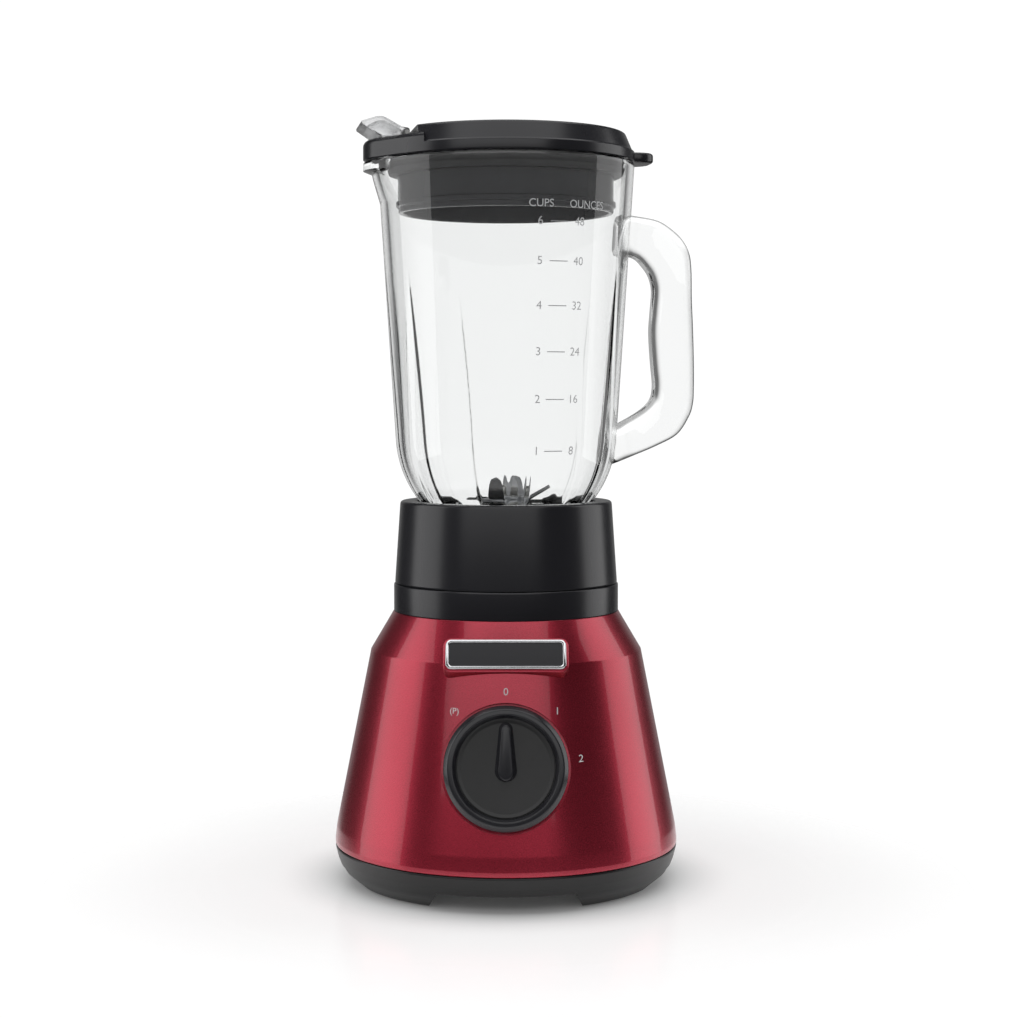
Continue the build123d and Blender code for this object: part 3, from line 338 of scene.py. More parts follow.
class Finish(Enum):
    """The finishes of the blender, by what they are used on."""

    RED = MetallicLacquer()
    GLOSS = MouldedPlastic("black_gloss")
    SATIN = MouldedPlastic("black_satin", (0.005, 0.005, 0.0052), 0.36, 1500.0, 0.00001, 0.0)
    KNOB_FACE = MouldedPlastic("knob_face", (0.016, 0.016, 0.0165), 0.34, 1300.0, 0.000012, 0.0)
    RUBBER = MouldedPlastic("black_rubber", (0.02, 0.02, 0.021), 0.62, 1100.0, 0.00003, 0.0)
    NYLON = MouldedPlastic("light_nylon", (0.55, 0.53, 0.47), 0.45, 1200.0, 0.00001, 0.0)
    CARBON = MouldedPlastic("carbon_block", (0.03, 0.03, 0.03), 0.55, 1400.0, 0.00002, 0.0)
    GLASS = ClearGlass("jar_glass_clear")
    CLEAR = ClearGlass("clear_flap", (0.93, 0.935, 0.94), 1.49, 0.28, 0.00002)
    STEEL = BrushedMetal("blade_steel", (0.72, 0.72, 0.73), 0.2)
    ZINC = BrushedMetal("zinc_steel", (0.60, 0.60, 0.58), 0.34, (1.0, 1.0, 0.2), 900.0)
    LAMINATION = BrushedMetal("lamination_steel", (0.28, 0.28, 0.29), 0.45, (0.1, 0.1, 1.0), 2000.0, 0.00004)
    COPPER = BrushedMetal("copper_wire", (0.62, 0.24, 0.11), 0.36, (0.1, 0.1, 1.0), 1500.0, 0.00008)
    BRONZE = BrushedMetal("sintered_bronze", (0.55, 0.38, 0.18), 0.42, (1.0, 1.0, 1.0), 1600.0, 0.00002)
    CAST = BrushedMetal("cast_alloy", (0.52, 0.52, 0.53), 0.5, (1.0, 1.0, 1.0), 700.0, 0.00003)
    TRIM = BrushedMetal("silver_trim", (0.80, 0.80, 0.82), 0.16, (1.0, 1.0, 1.0), 2200.0, 0.000002)
    INK = PrintedInk("white_ink", (0.83, 0.83, 0.84))
    JAR_INK = PrintedInk("grey_ink", (0.78, 0.79, 0.80))

    def material(self) -> bpy.types.Material:
        """The finish's material, made on first use."""
        found = bpy.data.materials.get(self.value.name)
        return found or self.value.make()


# ------------------------------------------------------------------ mesh helpers


def ease(value: float) -> float:
    """Smooth step of a value that is held between 0 and 1."""
    held = min(1.0, max(0.0, value))
    return held * held * (3.0 - 2.0 * held)


def softened(points: Sequence[tuple[float, ...]], steps: int = 5) -> list[Point]:
    """Round the corners of a closed outline.

    Args:
        points: corners as (x, y) or (x, y, radius).
        steps: segments in each rounded corner.

    Returns:
        The outline's points.
    """
    made: list[Point] = []
    for index, corner in enumerate(points):
        here = Vector(corner[:2])
        radius = corner[2] if len(corner) > 2 else 0.0
        if radius <= 0.0:
            made.append((here.x, here.y))
            continue
        back = Vector(points[index - 1][:2]) - here
        ahead = Vector(points[(index + 1) % len(points)][:2]) - here
        angle = back.angle(ahead)
        reach = min(radius / math.tan(angle / 2), 0.49 * back.length, 0.49 * ahead.length)
        start, end = here + back.normalized() * reach, here + ahead.normalized() * reach
        for step in range(steps + 1):
            t = step / steps
            point = start * (1 - t) ** 2 + here * (2 * t * (1 - t)) + end * t**2
            made.append((point.x, point.y))
    return made


def loop(bm: bmesh.types.BMesh, points: Iterable[Sequence[float]]) -> list[bmesh.types.BMEdge]:
    """Join points into a closed line of edges.

    Args:
        bm: the mesh that gets them.
        points: places in metres.

    Returns:
        The edges.
    """
    verts = [bm.verts.new(p) for p in points]
    return [bm.edges.new(pair) for pair in zip(verts, verts[1:] + verts[:1])]


def moved(bm: bmesh.types.BMesh, place: Matrix) -> bmesh.types.BMesh:
    """Move a mesh by a matrix in metres, and return it."""
    bmesh.ops.transform(bm, matrix=place, verts=bm.verts)
    return bm


def about_z(degrees: float) -> Matrix:
    """A turn round the Z axis."""
    return Matrix.Rotation(math.radians(degrees), 4, "Z")


def spun(outline: Sequence[Point], steps: int = ROUND_STEPS) -> bmesh.types.BMesh:
    """Spin a closed half outline of (radius, height), in millimetres, round the Z axis.

    Args:
        outline: the half outline.
        steps: segments round the axis.

    Returns:
        A closed mesh.
    """
    bm = bmesh.new()
    edges = loop(bm, [(r * MM, 0.0, z * MM) for r, z in outline])
    bmesh.ops.spin(
        bm,
        geom=bm.verts[:] + edges,
        cent=(0, 0, 0),
        axis=(0, 0, 1),
        angle=math.tau,
        steps=steps,
        use_merge=True,
    )
    bmesh.ops.remove_doubles(bm, verts=bm.verts, dist=1e-6)
    bmesh.ops.delete(bm, geom=[e for e in bm.edges if not e.link_faces], context="EDGES")
    bmesh.ops.recalc_face_normals(bm, faces=bm.faces)
    return bm


def stacked(rings: Sequence[Sequence[Vector]]) -> bmesh.types.BMesh:
    """Skin a row of rings that all have as many points, and close both ends.

    Args:
        rings: each ring's points in millimetres.

    Returns:
        A closed mesh.
    """
    bm = bmesh.new()
    loops = [[bm.verts.new(point * MM) for point in ring] for ring in rings]
    for first, second in zip(loops, loops[1:]):
        for i, vert in enumerate(first):
            j = (i + 1) % len(first)
            bm.faces.new((vert, first[j], second[j], second[i]))
    bm.faces.new(loops[0][::-1])
    bm.faces.new(loops[-1])
    bmesh.ops.recalc_face_normals(bm, faces=bm.faces)
    return bm


def prism(
    outline: Sequence[Point],
    low: float,
    high: float,
    place: Optional[Matrix] = None,
) -> bmesh.types.BMesh:
    """Raise a flat outline, in millimetres, between two heights.

    Args:
        outline: the closed outline in X and Y.
        low: where it starts along Z.
        high: where it ends.
        place: where the prism stands, as a matrix in metres.

    Returns:
        A closed mesh.
    """
    bm = bmesh.new()
    loop(bm, [(x * MM, y * MM, low * MM) for x, y in outline])
    face = bmesh.ops.contextual_create(bm, geom=bm.edges[:])["faces"]
    raised = bmesh.ops.extrude_face_region(bm, geom=face)["geom"]
    tops = [g for g in raised if isinstance(g, bmesh.types.BMVert)]
    bmesh.ops.translate(bm, verts=tops, vec=(0, 0, (high - low) * MM))
    bmesh.ops.recalc_face_normals(bm, faces=bm.faces)
    return bm if place is None else moved(bm, place)


def rounded_box(width: float, height: float, radius: float, steps: int = 8) -> list[Point]:
    """A rectangle with round corners, centred on the origin.

    Args:
        width: its size along X in millimetres.
        height: its size along Y.
        radius: the corners' radius.
        steps: segments in each corner.

    Returns:
        The outline's points.
    """
    half_w, half_h = width / 2, height / 2
    corners = [(half_w, half_h), (-half_w, half_h), (-half_w, -half_h), (half_w, -half_h)]
    made: list[Point] = []
    for index, (x, y) in enumerate(corners):
        cx, cy = math.copysign(half_w - radius, x), math.copysign(half_h - radius, y)
        for step in range(steps + 1):
            angle = math.radians(90 * index + 90 * step / steps)
            made.append((cx + radius * math.cos(angle), cy + radius * math.sin(angle)))
    return made


def round_edges(
    bm: bmesh.types.BMesh,
    width: float,
    segments: int = 3,
    angle: float = 30.0,
) -> bmesh.types.BMesh:
    """Bevel every edge that is sharper than an angle.

    Args:
        bm: the mesh.
        width: the bevel's width in millimetres.
        segments: its segments.
        angle: the least turn, in degrees, that is bevelled.

    Returns:
        The same mesh.
    """
    limit = math.radians(angle)
    sharp = [e for e in bm.edges if e.is_manifold and e.calc_face_angle(0.0) > limit]
    bmesh.ops.bevel(
        bm,
        geom=sharp,
        offset=width * MM,
        segments=segments,
        profile=0.5,
        affect="EDGES",
        material=-1,
        clamp_overlap=True,
    )
    return bm


def joined(*parts: bmesh.types.BMesh) -> bmesh.types.BMesh:
    """Put several meshes into the first one."""
    first = parts[0]
    for other in parts[1:]:
        spare = bpy.data.meshes.new("spare")
        other.to_mesh(spare)
        first.from_mesh(spare)
        bpy.data.meshes.remove(spare)
        other.free()
    return first


def carved(base: bmesh.types.BMesh, *cuts: tuple[str, bmesh.types.BMesh]) -> bmesh.types.BMesh:
    """Cut shapes out of a mesh or weld them to it.

    Args:
        base: the mesh that is worked on.
        cuts: pairs of an operation, DIFFERENCE, UNION or INTERSECT, and its tool.

    Returns:
        The worked mesh.
    """
    for operation, tool in cuts:
        objects = []
        for bm in (base, tool):
            mesh = bpy.data.meshes.new("work")
            bm.to_mesh(mesh)
            bm.free()
            objects.append(bpy.data.objects.new("work", mesh))
            bpy.context.scene.collection.objects.link(objects[-1])
        modifier = objects[0].modifiers.new("cut", "BOOLEAN")
        modifier.operation = operation
        modifier.solver = "EXACT"
        modifier.object = objects[1]
        graph = bpy.context.evaluated_depsgraph_get()
        base = bmesh.new()
        base.from_object(objects[0], graph)
        for item in objects:
            mesh = item.data
            bpy.data.objects.remove(item)
            bpy.data.meshes.remove(mesh)
    bmesh.ops.remove_doubles(base, verts=base.verts, dist=2e-6)
    bmesh.ops.dissolve_degenerate(base, dist=1e-6, edges=base.edges)
    return base


def piece(
    name: str,
    bm: bmesh.types.BMesh,
    body: str,
    finish: Finish,
    replaces: Sequence[str] = (),
    smooth: float = 32.0,
) -> bpy.types.Object:
    """Turn a mesh into a finished piece of the blender.

    Args:
        name: the piece's name.
        bm: its mesh, already in place.
        body: the body that it moves with.
        finish: its finish.
        replaces: the nodes that it stands for.
        smooth: the angle, in degrees, above which an edge stays sharp.

    Returns:
        The object.
    """
    mesh = bpy.data.meshes.new(name)
    bm.to_mesh(mesh)
    bm.free()
    mesh.shade_smooth()
    mesh.set_sharp_from_angle(angle=math.radians(smooth))
    mesh.materials.append(finish.material())
    made = bpy.data.objects.new(name, mesh)
    bpy.context.scene.collection.objects.link(made)
    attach(made, body)
    if replaces:
        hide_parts(*replaces)
    log.info("%s: %d faces, rides on %s", name, len(mesh.polygons), body)
    return made


def dress(node: str, finish: Finish) -> None:
    """Give a CAD node its finish."""
    slots = frame["nodes"][node].data.materials
    slots.clear()
    slots.append(finish.material())


def mm_box(node: str) -> tuple[Vector, Vector]:
    """A CAD node's corners in millimetres."""
    low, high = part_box(node)
    return low / MM, high / MM


def web_level() -> float:
    """Height of the collar's inner web, just under the gasket, in millimetres."""
    return mm_box("jar_gasket")[0].z - 0.3


def lettering(text: str, size: float) -> bmesh.types.BMesh:
    """Flat figures as a mesh, centred, in millimetres turned to metres.

    Args:
        text: what is printed.
        size: the height of the type in millimetres.

    Returns:
        The flat mesh.
    """
    curve = bpy.data.curves.new("figures", "FONT")
    curve.body = text
    curve.size = size * MM
    curve.align_x = "CENTER"
    curve.align_y = "CENTER"
    curve.resolution_u = 4
    carrier = bpy.data.objects.new("figures", curve)
    bpy.context.scene.collection.objects.link(carrier)
    graph = bpy.context.evaluated_depsgraph_get()
    mesh = bpy.data.meshes.new_from_object(carrier.evaluated_get(graph))
    bm = bmesh.new()
    bm.from_mesh(mesh)
    bpy.data.objects.remove(carrier)
    bpy.data.curves.remove(curve)
    bpy.data.meshes.remove(mesh)
    return bm


def wrapped(bm: bmesh.types.BMesh, where: Callable[[float, float], Vector]) -> bmesh.types.BMesh:
    """Lay a flat mesh on a surface.

    Args:
        bm: the flat mesh in metres.
        where: gives the place on the surface for two flat coordinates in millimetres.

    Returns:
        The same mesh.
    """
    bmesh.ops.triangulate(bm, faces=bm.faces)
    for vert in bm.verts:
        vert.co = where(vert.co.x / MM, vert.co.y / MM)
    return bm


# ------------------------------------------------------------------ base


@dataclass
class MotorBase:
    """The red shell, its tray and feet, the jar's seat and what hangs inside."""

    wall: float = 2.8
    skirt: float = 9.8
    skirt_step: float = 0.8
    cone: float = 92.3
    shoulder_radius: float = 71.4
    shoulder: float = 20.3
    top_radius: float = 59.4
    well_gap: float = 1.5
    well_margin: float = 0.5
    badge_size: tuple[float, float] = (60.0, 15.9)
    badge_shift: float = -5.6
    badge_border: float = 1.7
    badge_round: float = 66.0
    print_lift: float = 0.06
    tool_reach: float = 30.0

    def __post_init__(self) -> None:
        """Work out levels from the CAD nodes."""
        self.radius = mm_box("base_tray")[1].x
        self.top_z = mm_box("housing")[1].z
        self.shoulder_z = self.top_z - self.shoulder
        self.cone_z = self.shoulder_z - self.cone
        self.parting_z = self.cone_z - self.skirt
        self.cone_radius = self.radius - self.skirt_step
        self.tilt = math.atan2(self.cone_radius - self.shoulder_radius, self.cone)
        joint = next(j for j in frame["joints"] if j["name"] == "knob_turn")
        self.knob_place = self.frame_at(Vector(joint["pos_m"]), self.tilt)
        knob_low, knob_high = mm_box("knob")
        self.knob_radius = (knob_high.x - knob_low.x) / 2
        self.well = self.knob_radius + self.well_gap
        knob_crown = -self.knob_place.translation.y / MM
        self.well_depth = knob_crown - math.sqrt(knob_crown**2 - self.well**2)
        shoulder_tilt = math.atan2(self.shoulder_radius - self.top_radius, self.shoulder)
        badge_z = self.shoulder_z + self.shoulder / 2 + self.badge_shift
        crown = self.shoulder_radius - (badge_z - self.shoulder_z) * math.tan(shoulder_tilt)
        self.badge_place = self.frame_at(Vector((0.0, -crown, badge_z)) * MM, shoulder_tilt)

    @staticmethod
    def frame_at(origin: Vector, tilt: float) -> Matrix:
        """A frame on the front whose Z points outwards and whose Y points up the surface.

        Args:
            origin: its origin in metres.
            tilt: how far Z is tipped up, in radians.

        Returns:
            The frame as a matrix.
        """
        normal = Vector((0.0, -math.cos(tilt), math.sin(tilt)))
        across = Vector((1.0, 0.0, 0.0))
        axes = Matrix((across, normal.cross(across), normal)).transposed()
        return Matrix.LocRotScale(origin, axes, None)

    def cone_radius_at(self, z: float) -> float:
        """Outer radius of the cone at a height, in millimetres."""
        return self.cone_radius - (z - self.cone_z) * math.tan(self.tilt)

    def shell(self) -> None:
        """The red shell with the knob's well and the badge's pad."""
        w = self.wall
        low = self.parting_z + 0.25
        outline = softened(
            [
                (self.radius - 0.5, low, 0.4),
                (self.radius, low + 0.6, 0.8),
                (self.radius, self.parting_z + self.skirt * 0.3, 6.0),
                (self.cone_radius, self.cone_z, 24.0),
                (self.shoulder_radius, self.shoulder_z, 1.6),
                (self.top_radius, self.top_z, 0.5),
                (self.top_radius - w - 3.7, self.top_z, 0.3),
                (self.top_radius - w - 3.7, self.top_z - w),
                (self.top_radius - w, self.top_z - w, 0.5),
                (self.shoulder_radius - w, self.shoulder_z - 1.0, 1.0),
                (self.cone_radius - w, self.cone_z),
                (self.radius - w, low),
            ],
            8,
        )
        well, depth = self.well, self.well_depth + self.well_margin
        ring = [(math.cos(math.tau * i / 128), math.sin(math.tau * i / 128)) for i in range(128)]
        wide = [(x * (well + w), y * (well + w)) for x, y in ring]
        cup = prism(wide, -depth - w, self.tool_reach, self.knob_place)
        inset = w / 2
        limit = spun(
            [
                (0, low),
                (self.radius - inset, low),
                (self.radius - inset, self.parting_z + self.skirt * 0.3),
                (self.cone_radius - inset, self.cone_z),
                (self.shoulder_radius - inset, self.shoulder_z),
                (self.top_radius - inset, self.top_z - inset),
                (0, self.top_z - inset),
            ]
        )
        cup = carved(cup, ("INTERSECT", limit))
        bore = prism([(x * well, y * well) for x, y in ring], -depth, self.tool_reach, self.knob_place)
        width, height = self.badge_size
        pad_depth = self.badge_round - math.sqrt(self.badge_round**2 - (width / 2) ** 2) + 2.0
        pad = prism(rounded_box(width + 2.4, height + 2.4, 4.0), -pad_depth, 0.6, self.badge_place)
        pad = round_edges(pad, 0.5, 3)
        shell = carved(spun(outline), ("UNION", cup), ("DIFFERENCE", bore), ("UNION", pad))
        made = piece("housing_shell", shell, "base", Finish.RED, ["housing"], 28.0)
        soften_edges(made, 0.5, 2, 40.0)

    def tray(self) -> None:
        """The black tray with its four feet."""
        under = 9.5
        r = self.radius
        floor = mm_box("base_tray")[0].z
        outline = softened(
            [
                (r - 0.3, self.parting_z, 0.2),
                (r - 0.1, self.parting_z - 0.9, 0.6),
                (r - 1.4, under + 3.5, 8.0),
                (r - 3.7, under - 2.3, 8.0),
                (r - 8.3, floor + 2.5, 5.0),
                (r - 10.8, floor, 1.2),
                (r - 28.3, floor, 1.0),
                (r - 31.3, under, 1.0),
                (0, under),
                (0, under + 3.0),
                (r - 2.8, under + 3.0),
                (r - 2.8, self.parting_z),
            ],
            6,
        )
        tray = spun(outline, 192)
        gaps = []
        for turn, wide, narrow in ((0.0, 39.0, 34.5), (90.0, 39.75, 26.0)):
            for side in (-1, 1):
                top = under - 0.02
                upright = about_z(turn + 90 * (side - 1)) @ Matrix.Rotation(math.radians(90), 4, "X")
                gap = prism([(-wide, -1.0), (wide, -1.0), (narrow, top), (-narrow, top)], -FAR, -20, upright)
                gaps.append(("DIFFERENCE", gap))
        tray = carved(tray, *gaps)
        made = piece("tray_and_feet", tray, "base", Finish.SATIN, ["base_tray"], 28.0)
        soften_edges(made, 0.6, 2, 40.0)

    def seat(self) -> None:
        """The black ring and boss under the jar's collar."""
        boss_top = mm_box("jar_seat")[1].z
        top = mm_box("jar_collar")[0].z - 0.3
        boss = 50.0
        outline = softened(
            [
                (self.top_radius - 0.1, self.top_z + 0.15, 0.3),
                (self.top_radius - 0.1, top, 0.9),
                (boss, top, 0.4),
                (boss, boss_top, 0.9),
                (boss - 3.2, boss_top, 0.9),
                (boss - 3.2, self.top_z + 10.25, 1.5),
                (9.0, self.top_z + 10.25, 1.0),
                (9.0, top + 1.8, 0.6),
                (6.5, top + 1.8, 0.3),
                (6.5, self.top_z + 7.25),
                (self.top_radius - 9.6, self.top_z + 7.25),
                (self.top_radius - 9.6, self.top_z - 5.5),
                (self.top_radius - 6.6, self.top_z - 5.5),
                (self.top_radius - 6.6, self.top_z + 0.15),
            ],
            5,
        )
        seat = spun(outline)
        for quarter in range(4):
            lug = round_edges(prism(rounded_box(5.0, 8.8, 0.8, 3), top, top + 9.0), 0.5, 2)
            spot = about_z(45 + 90 * quarter) @ Matrix.Translation((boss * MM, 0, 0))
            seat = joined(seat, moved(lug, spot))
        piece("seat_ring", seat, "base", Finish.GLOSS, ["jar_seat"])

    def badge(self) -> None:
        """The silver frame and its black insert, without lettering."""
        width, height = self.badge_size
        width_in, height_in = width - 2 * self.badge_border, height - 2 * self.badge_border
        outer = prism(rounded_box(width, height, 3.0), 0.6, 2.0, self.badge_place)
        inner = prism(rounded_box(width_in, height_in, 1.8), 0.0, 3.0, self.badge_place)
        rim = round_edges(carved(outer, ("DIFFERENCE", inner)), 0.45, 3)
        piece("badge_rim", rim, "base", Finish.TRIM, ["badge_frame"])
        plate = prism(rounded_box(width_in - 0.1, height_in - 0.1, 1.75), 0.6, 1.45, self.badge_place)
        piece("badge_insert", plate, "base", Finish.GLOSS, ["badge_plate"])

    def dial_marks(self) -> None:
        """The printed figures round the knob."""
        marks = (("zero", "0", 0.0, 5.2), ("one", "1", 43.0, 5.2), ("two", "2", 85.0, 5.2),
                 ("pulse", "(P)", -43.0, 4.2))
        reach = 37.5
        across, up = Vector((1.0, 0.0, 0.0)), self.knob_place.to_3x3() @ Vector((0.0, 1.0, 0.0))
        centre = self.knob_place.translation / MM
        for name, text, turn, size in marks:
            angle = math.radians(turn)
            mid = Vector((reach * math.sin(angle), reach * math.cos(angle)))

            def on_cone(x: float, y: float, mid: Vector = mid) -> Vector:
                """A point of the print on the cone's surface."""
                flat = centre + across * (mid.x + x) + up * (mid.y + y)
                reach_out = self.cone_radius_at(flat.z) + self.print_lift
                return Vector((flat.x, -math.sqrt(reach_out**2 - flat.x**2), flat.z)) * MM

            figure = wrapped(lettering(text, size), on_cone)
            piece(f"dial_{name}", figure, "base", Finish.INK)

    def inside(self) -> None:
        """Finish the pieces that the shell hides."""
        finishes = {
            Finish.RUBBER: ["foot_pad_front_left", "foot_pad_front_right", "foot_pad_rear_left",
                            "foot_pad_rear_right", "motor_mounts", "cord_gland"],
            Finish.ZINC: ["tray_screws", "switch_screws", "clamp_screws", "mount_screws", "motor_bolts",
                          "motor_shaft", "switch_spindle", "brush_spring_front", "brush_spring_rear"],
            Finish.SATIN: ["cord_clamp", "cooling_fan", "drive_coupling"],
            Finish.NYLON: ["rotary_switch"],
            Finish.CAST: ["upper_bracket", "lower_bracket"],
            Finish.BRONZE: ["upper_bearing", "lower_bearing", "brush_holder_front", "brush_holder_rear"],
            Finish.COPPER: ["field_coil_front", "field_coil_rear", "armature_winding", "commutator"],
            Finish.LAMINATION: ["stator_core", "rotor_core"],
            Finish.CARBON: ["brush_front", "brush_rear"],
        }
        for finish, nodes in finishes.items():
            for node in nodes:
                dress(node, finish)

    def make(self) -> None:
        """Build the whole base."""
        self.shell()
        self.tray()
        self.seat()
        self.badge()
        self.dial_marks()
        self.inside()


def soften_edges(made: bpy.types.Object, width: float, segments: int, angle: float) -> None:
    """Add a live bevel to the edges that are sharper than an angle.

    Args:
        made: the piece.
        width: the bevel's width in millimetres.
        segments: its segments.
        angle: the least turn in degrees.
    """
    bevel = made.modifiers.new("soft_edges", "BEVEL")
    bevel.width = width * MM
    bevel.segments = segments
    bevel.limit_method = "ANGLE"
    bevel.angle_limit = math.radians(angle)
    bevel.miter_outer = "MITER_ARC"
    bevel.harden_normals = True


@dataclass
class ControlKnob:
    """The round knob with its dished face and pointer."""

    rise: float = 12.0
    face_radius: float = 24.6
    face_depth: float = 1.6
    pointer_top: float = 19.0

    def make(self, base: MotorBase) -> None:
        """Build the knob on the base's knob frame.

        Args:
            base: the base that it stands on.
        """
        radius, back = base.knob_radius, base.well_depth
        face = self.rise - self.face_depth
        ring = spun(
            softened(
                [
                    (radius - 0.4, -back, 0.3),
                    (radius, -back + 1.0, 0.8),
                    (radius, self.rise - 3.4, 2.2),
                    (radius - 2.2, self.rise - 0.2, 1.8),
                    (self.face_radius + 1.4, self.rise, 0.9),
                    (self.face_radius, face - 0.5, 0.5),
                    (self.face_radius - 0.2, face - 2.2),
                    (3.2, face - 2.2),
                    (3.2, -back + 3.0),
                    (6.5, -back + 3.0),
                    (6.5, face - 4.4),
                    (radius - 2.4, face - 4.4),
                    (radius - 2.4, -back),
                ],
                6,
            ),
            192,
        )
        ring = moved(ring, base.knob_place)
        piece("knob_ring", ring, "control_knob", Finish.GLOSS, ["knob"])
        outline = softened(
            [
                (0, face - 2.0),
                (self.face_radius - 0.5, face - 2.0),
                (self.face_radius - 0.5, face - 0.7, 0.5),
                (self.face_radius - 2.5, face - 1.0, 1.5),
                (0, face - 1.3),
            ]
        )
        dish = moved(spun(outline, 160), base.knob_place)
        piece("knob_face", dish, "control_knob", Finish.KNOB_FACE)
        self.pointer(base, face - 1.6)

    def pointer(self, base: MotorBase, floor: float) -> None:
        """The raised teardrop that is held between two fingers.

        Args:
            base: the base that the knob stands on.
            floor: the height of the knob's face.
        """
        low_radius, top_radius, low_y = 5.4, 3.3, -1.0
        outline = []
        for step in range(17):
            angle = math.radians(180 + 180 * step / 16)
            outline.append((low_radius * math.cos(angle), low_y + low_radius * math.sin(angle)))
        for step in range(17):
            angle = math.radians(180 * step / 16)
            outline.append((top_radius * math.cos(angle), self.pointer_top + top_radius * math.sin(angle)))
        body = prism(outline, floor, self.rise + 1.3)
        for vert in [v for v in body.verts if v.co.z > self.rise * MM]:
            along = (vert.co.y / MM - low_y) / (self.pointer_top - low_y)
            vert.co.x *= 0.72
            vert.co.y = (low_y + (vert.co.y / MM - low_y) * 0.95) * MM
            vert.co.z -= (0.9 * ease(1.0 - along)) * MM
        body = moved(round_edges(body, 1.1, 4, 25.0), base.knob_place)
        piece("knob_pointer", body, "control_knob", Finish.GLOSS)


# ------------------------------------------------------------------ collar and cutter


@dataclass
class JarCollar:
    """The black screw collar under the glass, with its web and its keys."""

    top_radius: float = 55.9
    wall: float = 3.0
    roof: float = 4.0
    web: float = 3.0

    def make(self) -> None:
        """Build the collar."""
        low, high = mm_box("jar_collar")
        web_top = web_level()
        socket = mm_box("jar_gasket")[1].x + 1.4
        hub = 13.5
        outline = softened(
            [
                (high.x - 0.2, low.z, 0.4),
                (high.x, low.z + 0.8, 0.6),
                (self.top_radius, high.z, 2.0),
                (socket, high.z, 0.7),
                (socket, web_top, 1.0),
                (hub, web_top),
                (hub, web_top - self.web),
                (socket + self.wall, web_top - self.web, 0.5),
                (socket + self.wall, high.z - self.roof),
                (self.top_radius - self.wall, high.z - self.roof, 1.0),
                (high.x - self.wall, low.z, 0.4),
            ],
            6,
        )
        collar = spun(outline)
        boss = 50.6
        length = high.x - boss - 2.0
        reach = boss + length / 2
        for quarter in range(4):
            for side in (-1, 1):
                spot = about_z(45 + 90 * quarter) @ Matrix.Translation((reach * MM, side * 6.4 * MM, 0))
                key = prism(rounded_box(length, 2.8, 0.4, 2), low.z + 0.7, low.z + 20.0, spot)
                collar = joined(collar, key)
        piece("screw_collar", collar, "jar_base", Finish.GLOSS, ["jar_collar"])
        dress("jar_gasket", Finish.RUBBER)
        dress("holder_nut", Finish.SATIN)
        dress("blade_bearing", Finish.BRONZE)
        dress("shaft_seal", Finish.RUBBER)


@dataclass(frozen=True)
class BladeArm:
    """One bent arm: its direction in degrees, where it bends, its tip's radius and its rise."""

    turn: float
    bend: float
    tip: float
    rise: float


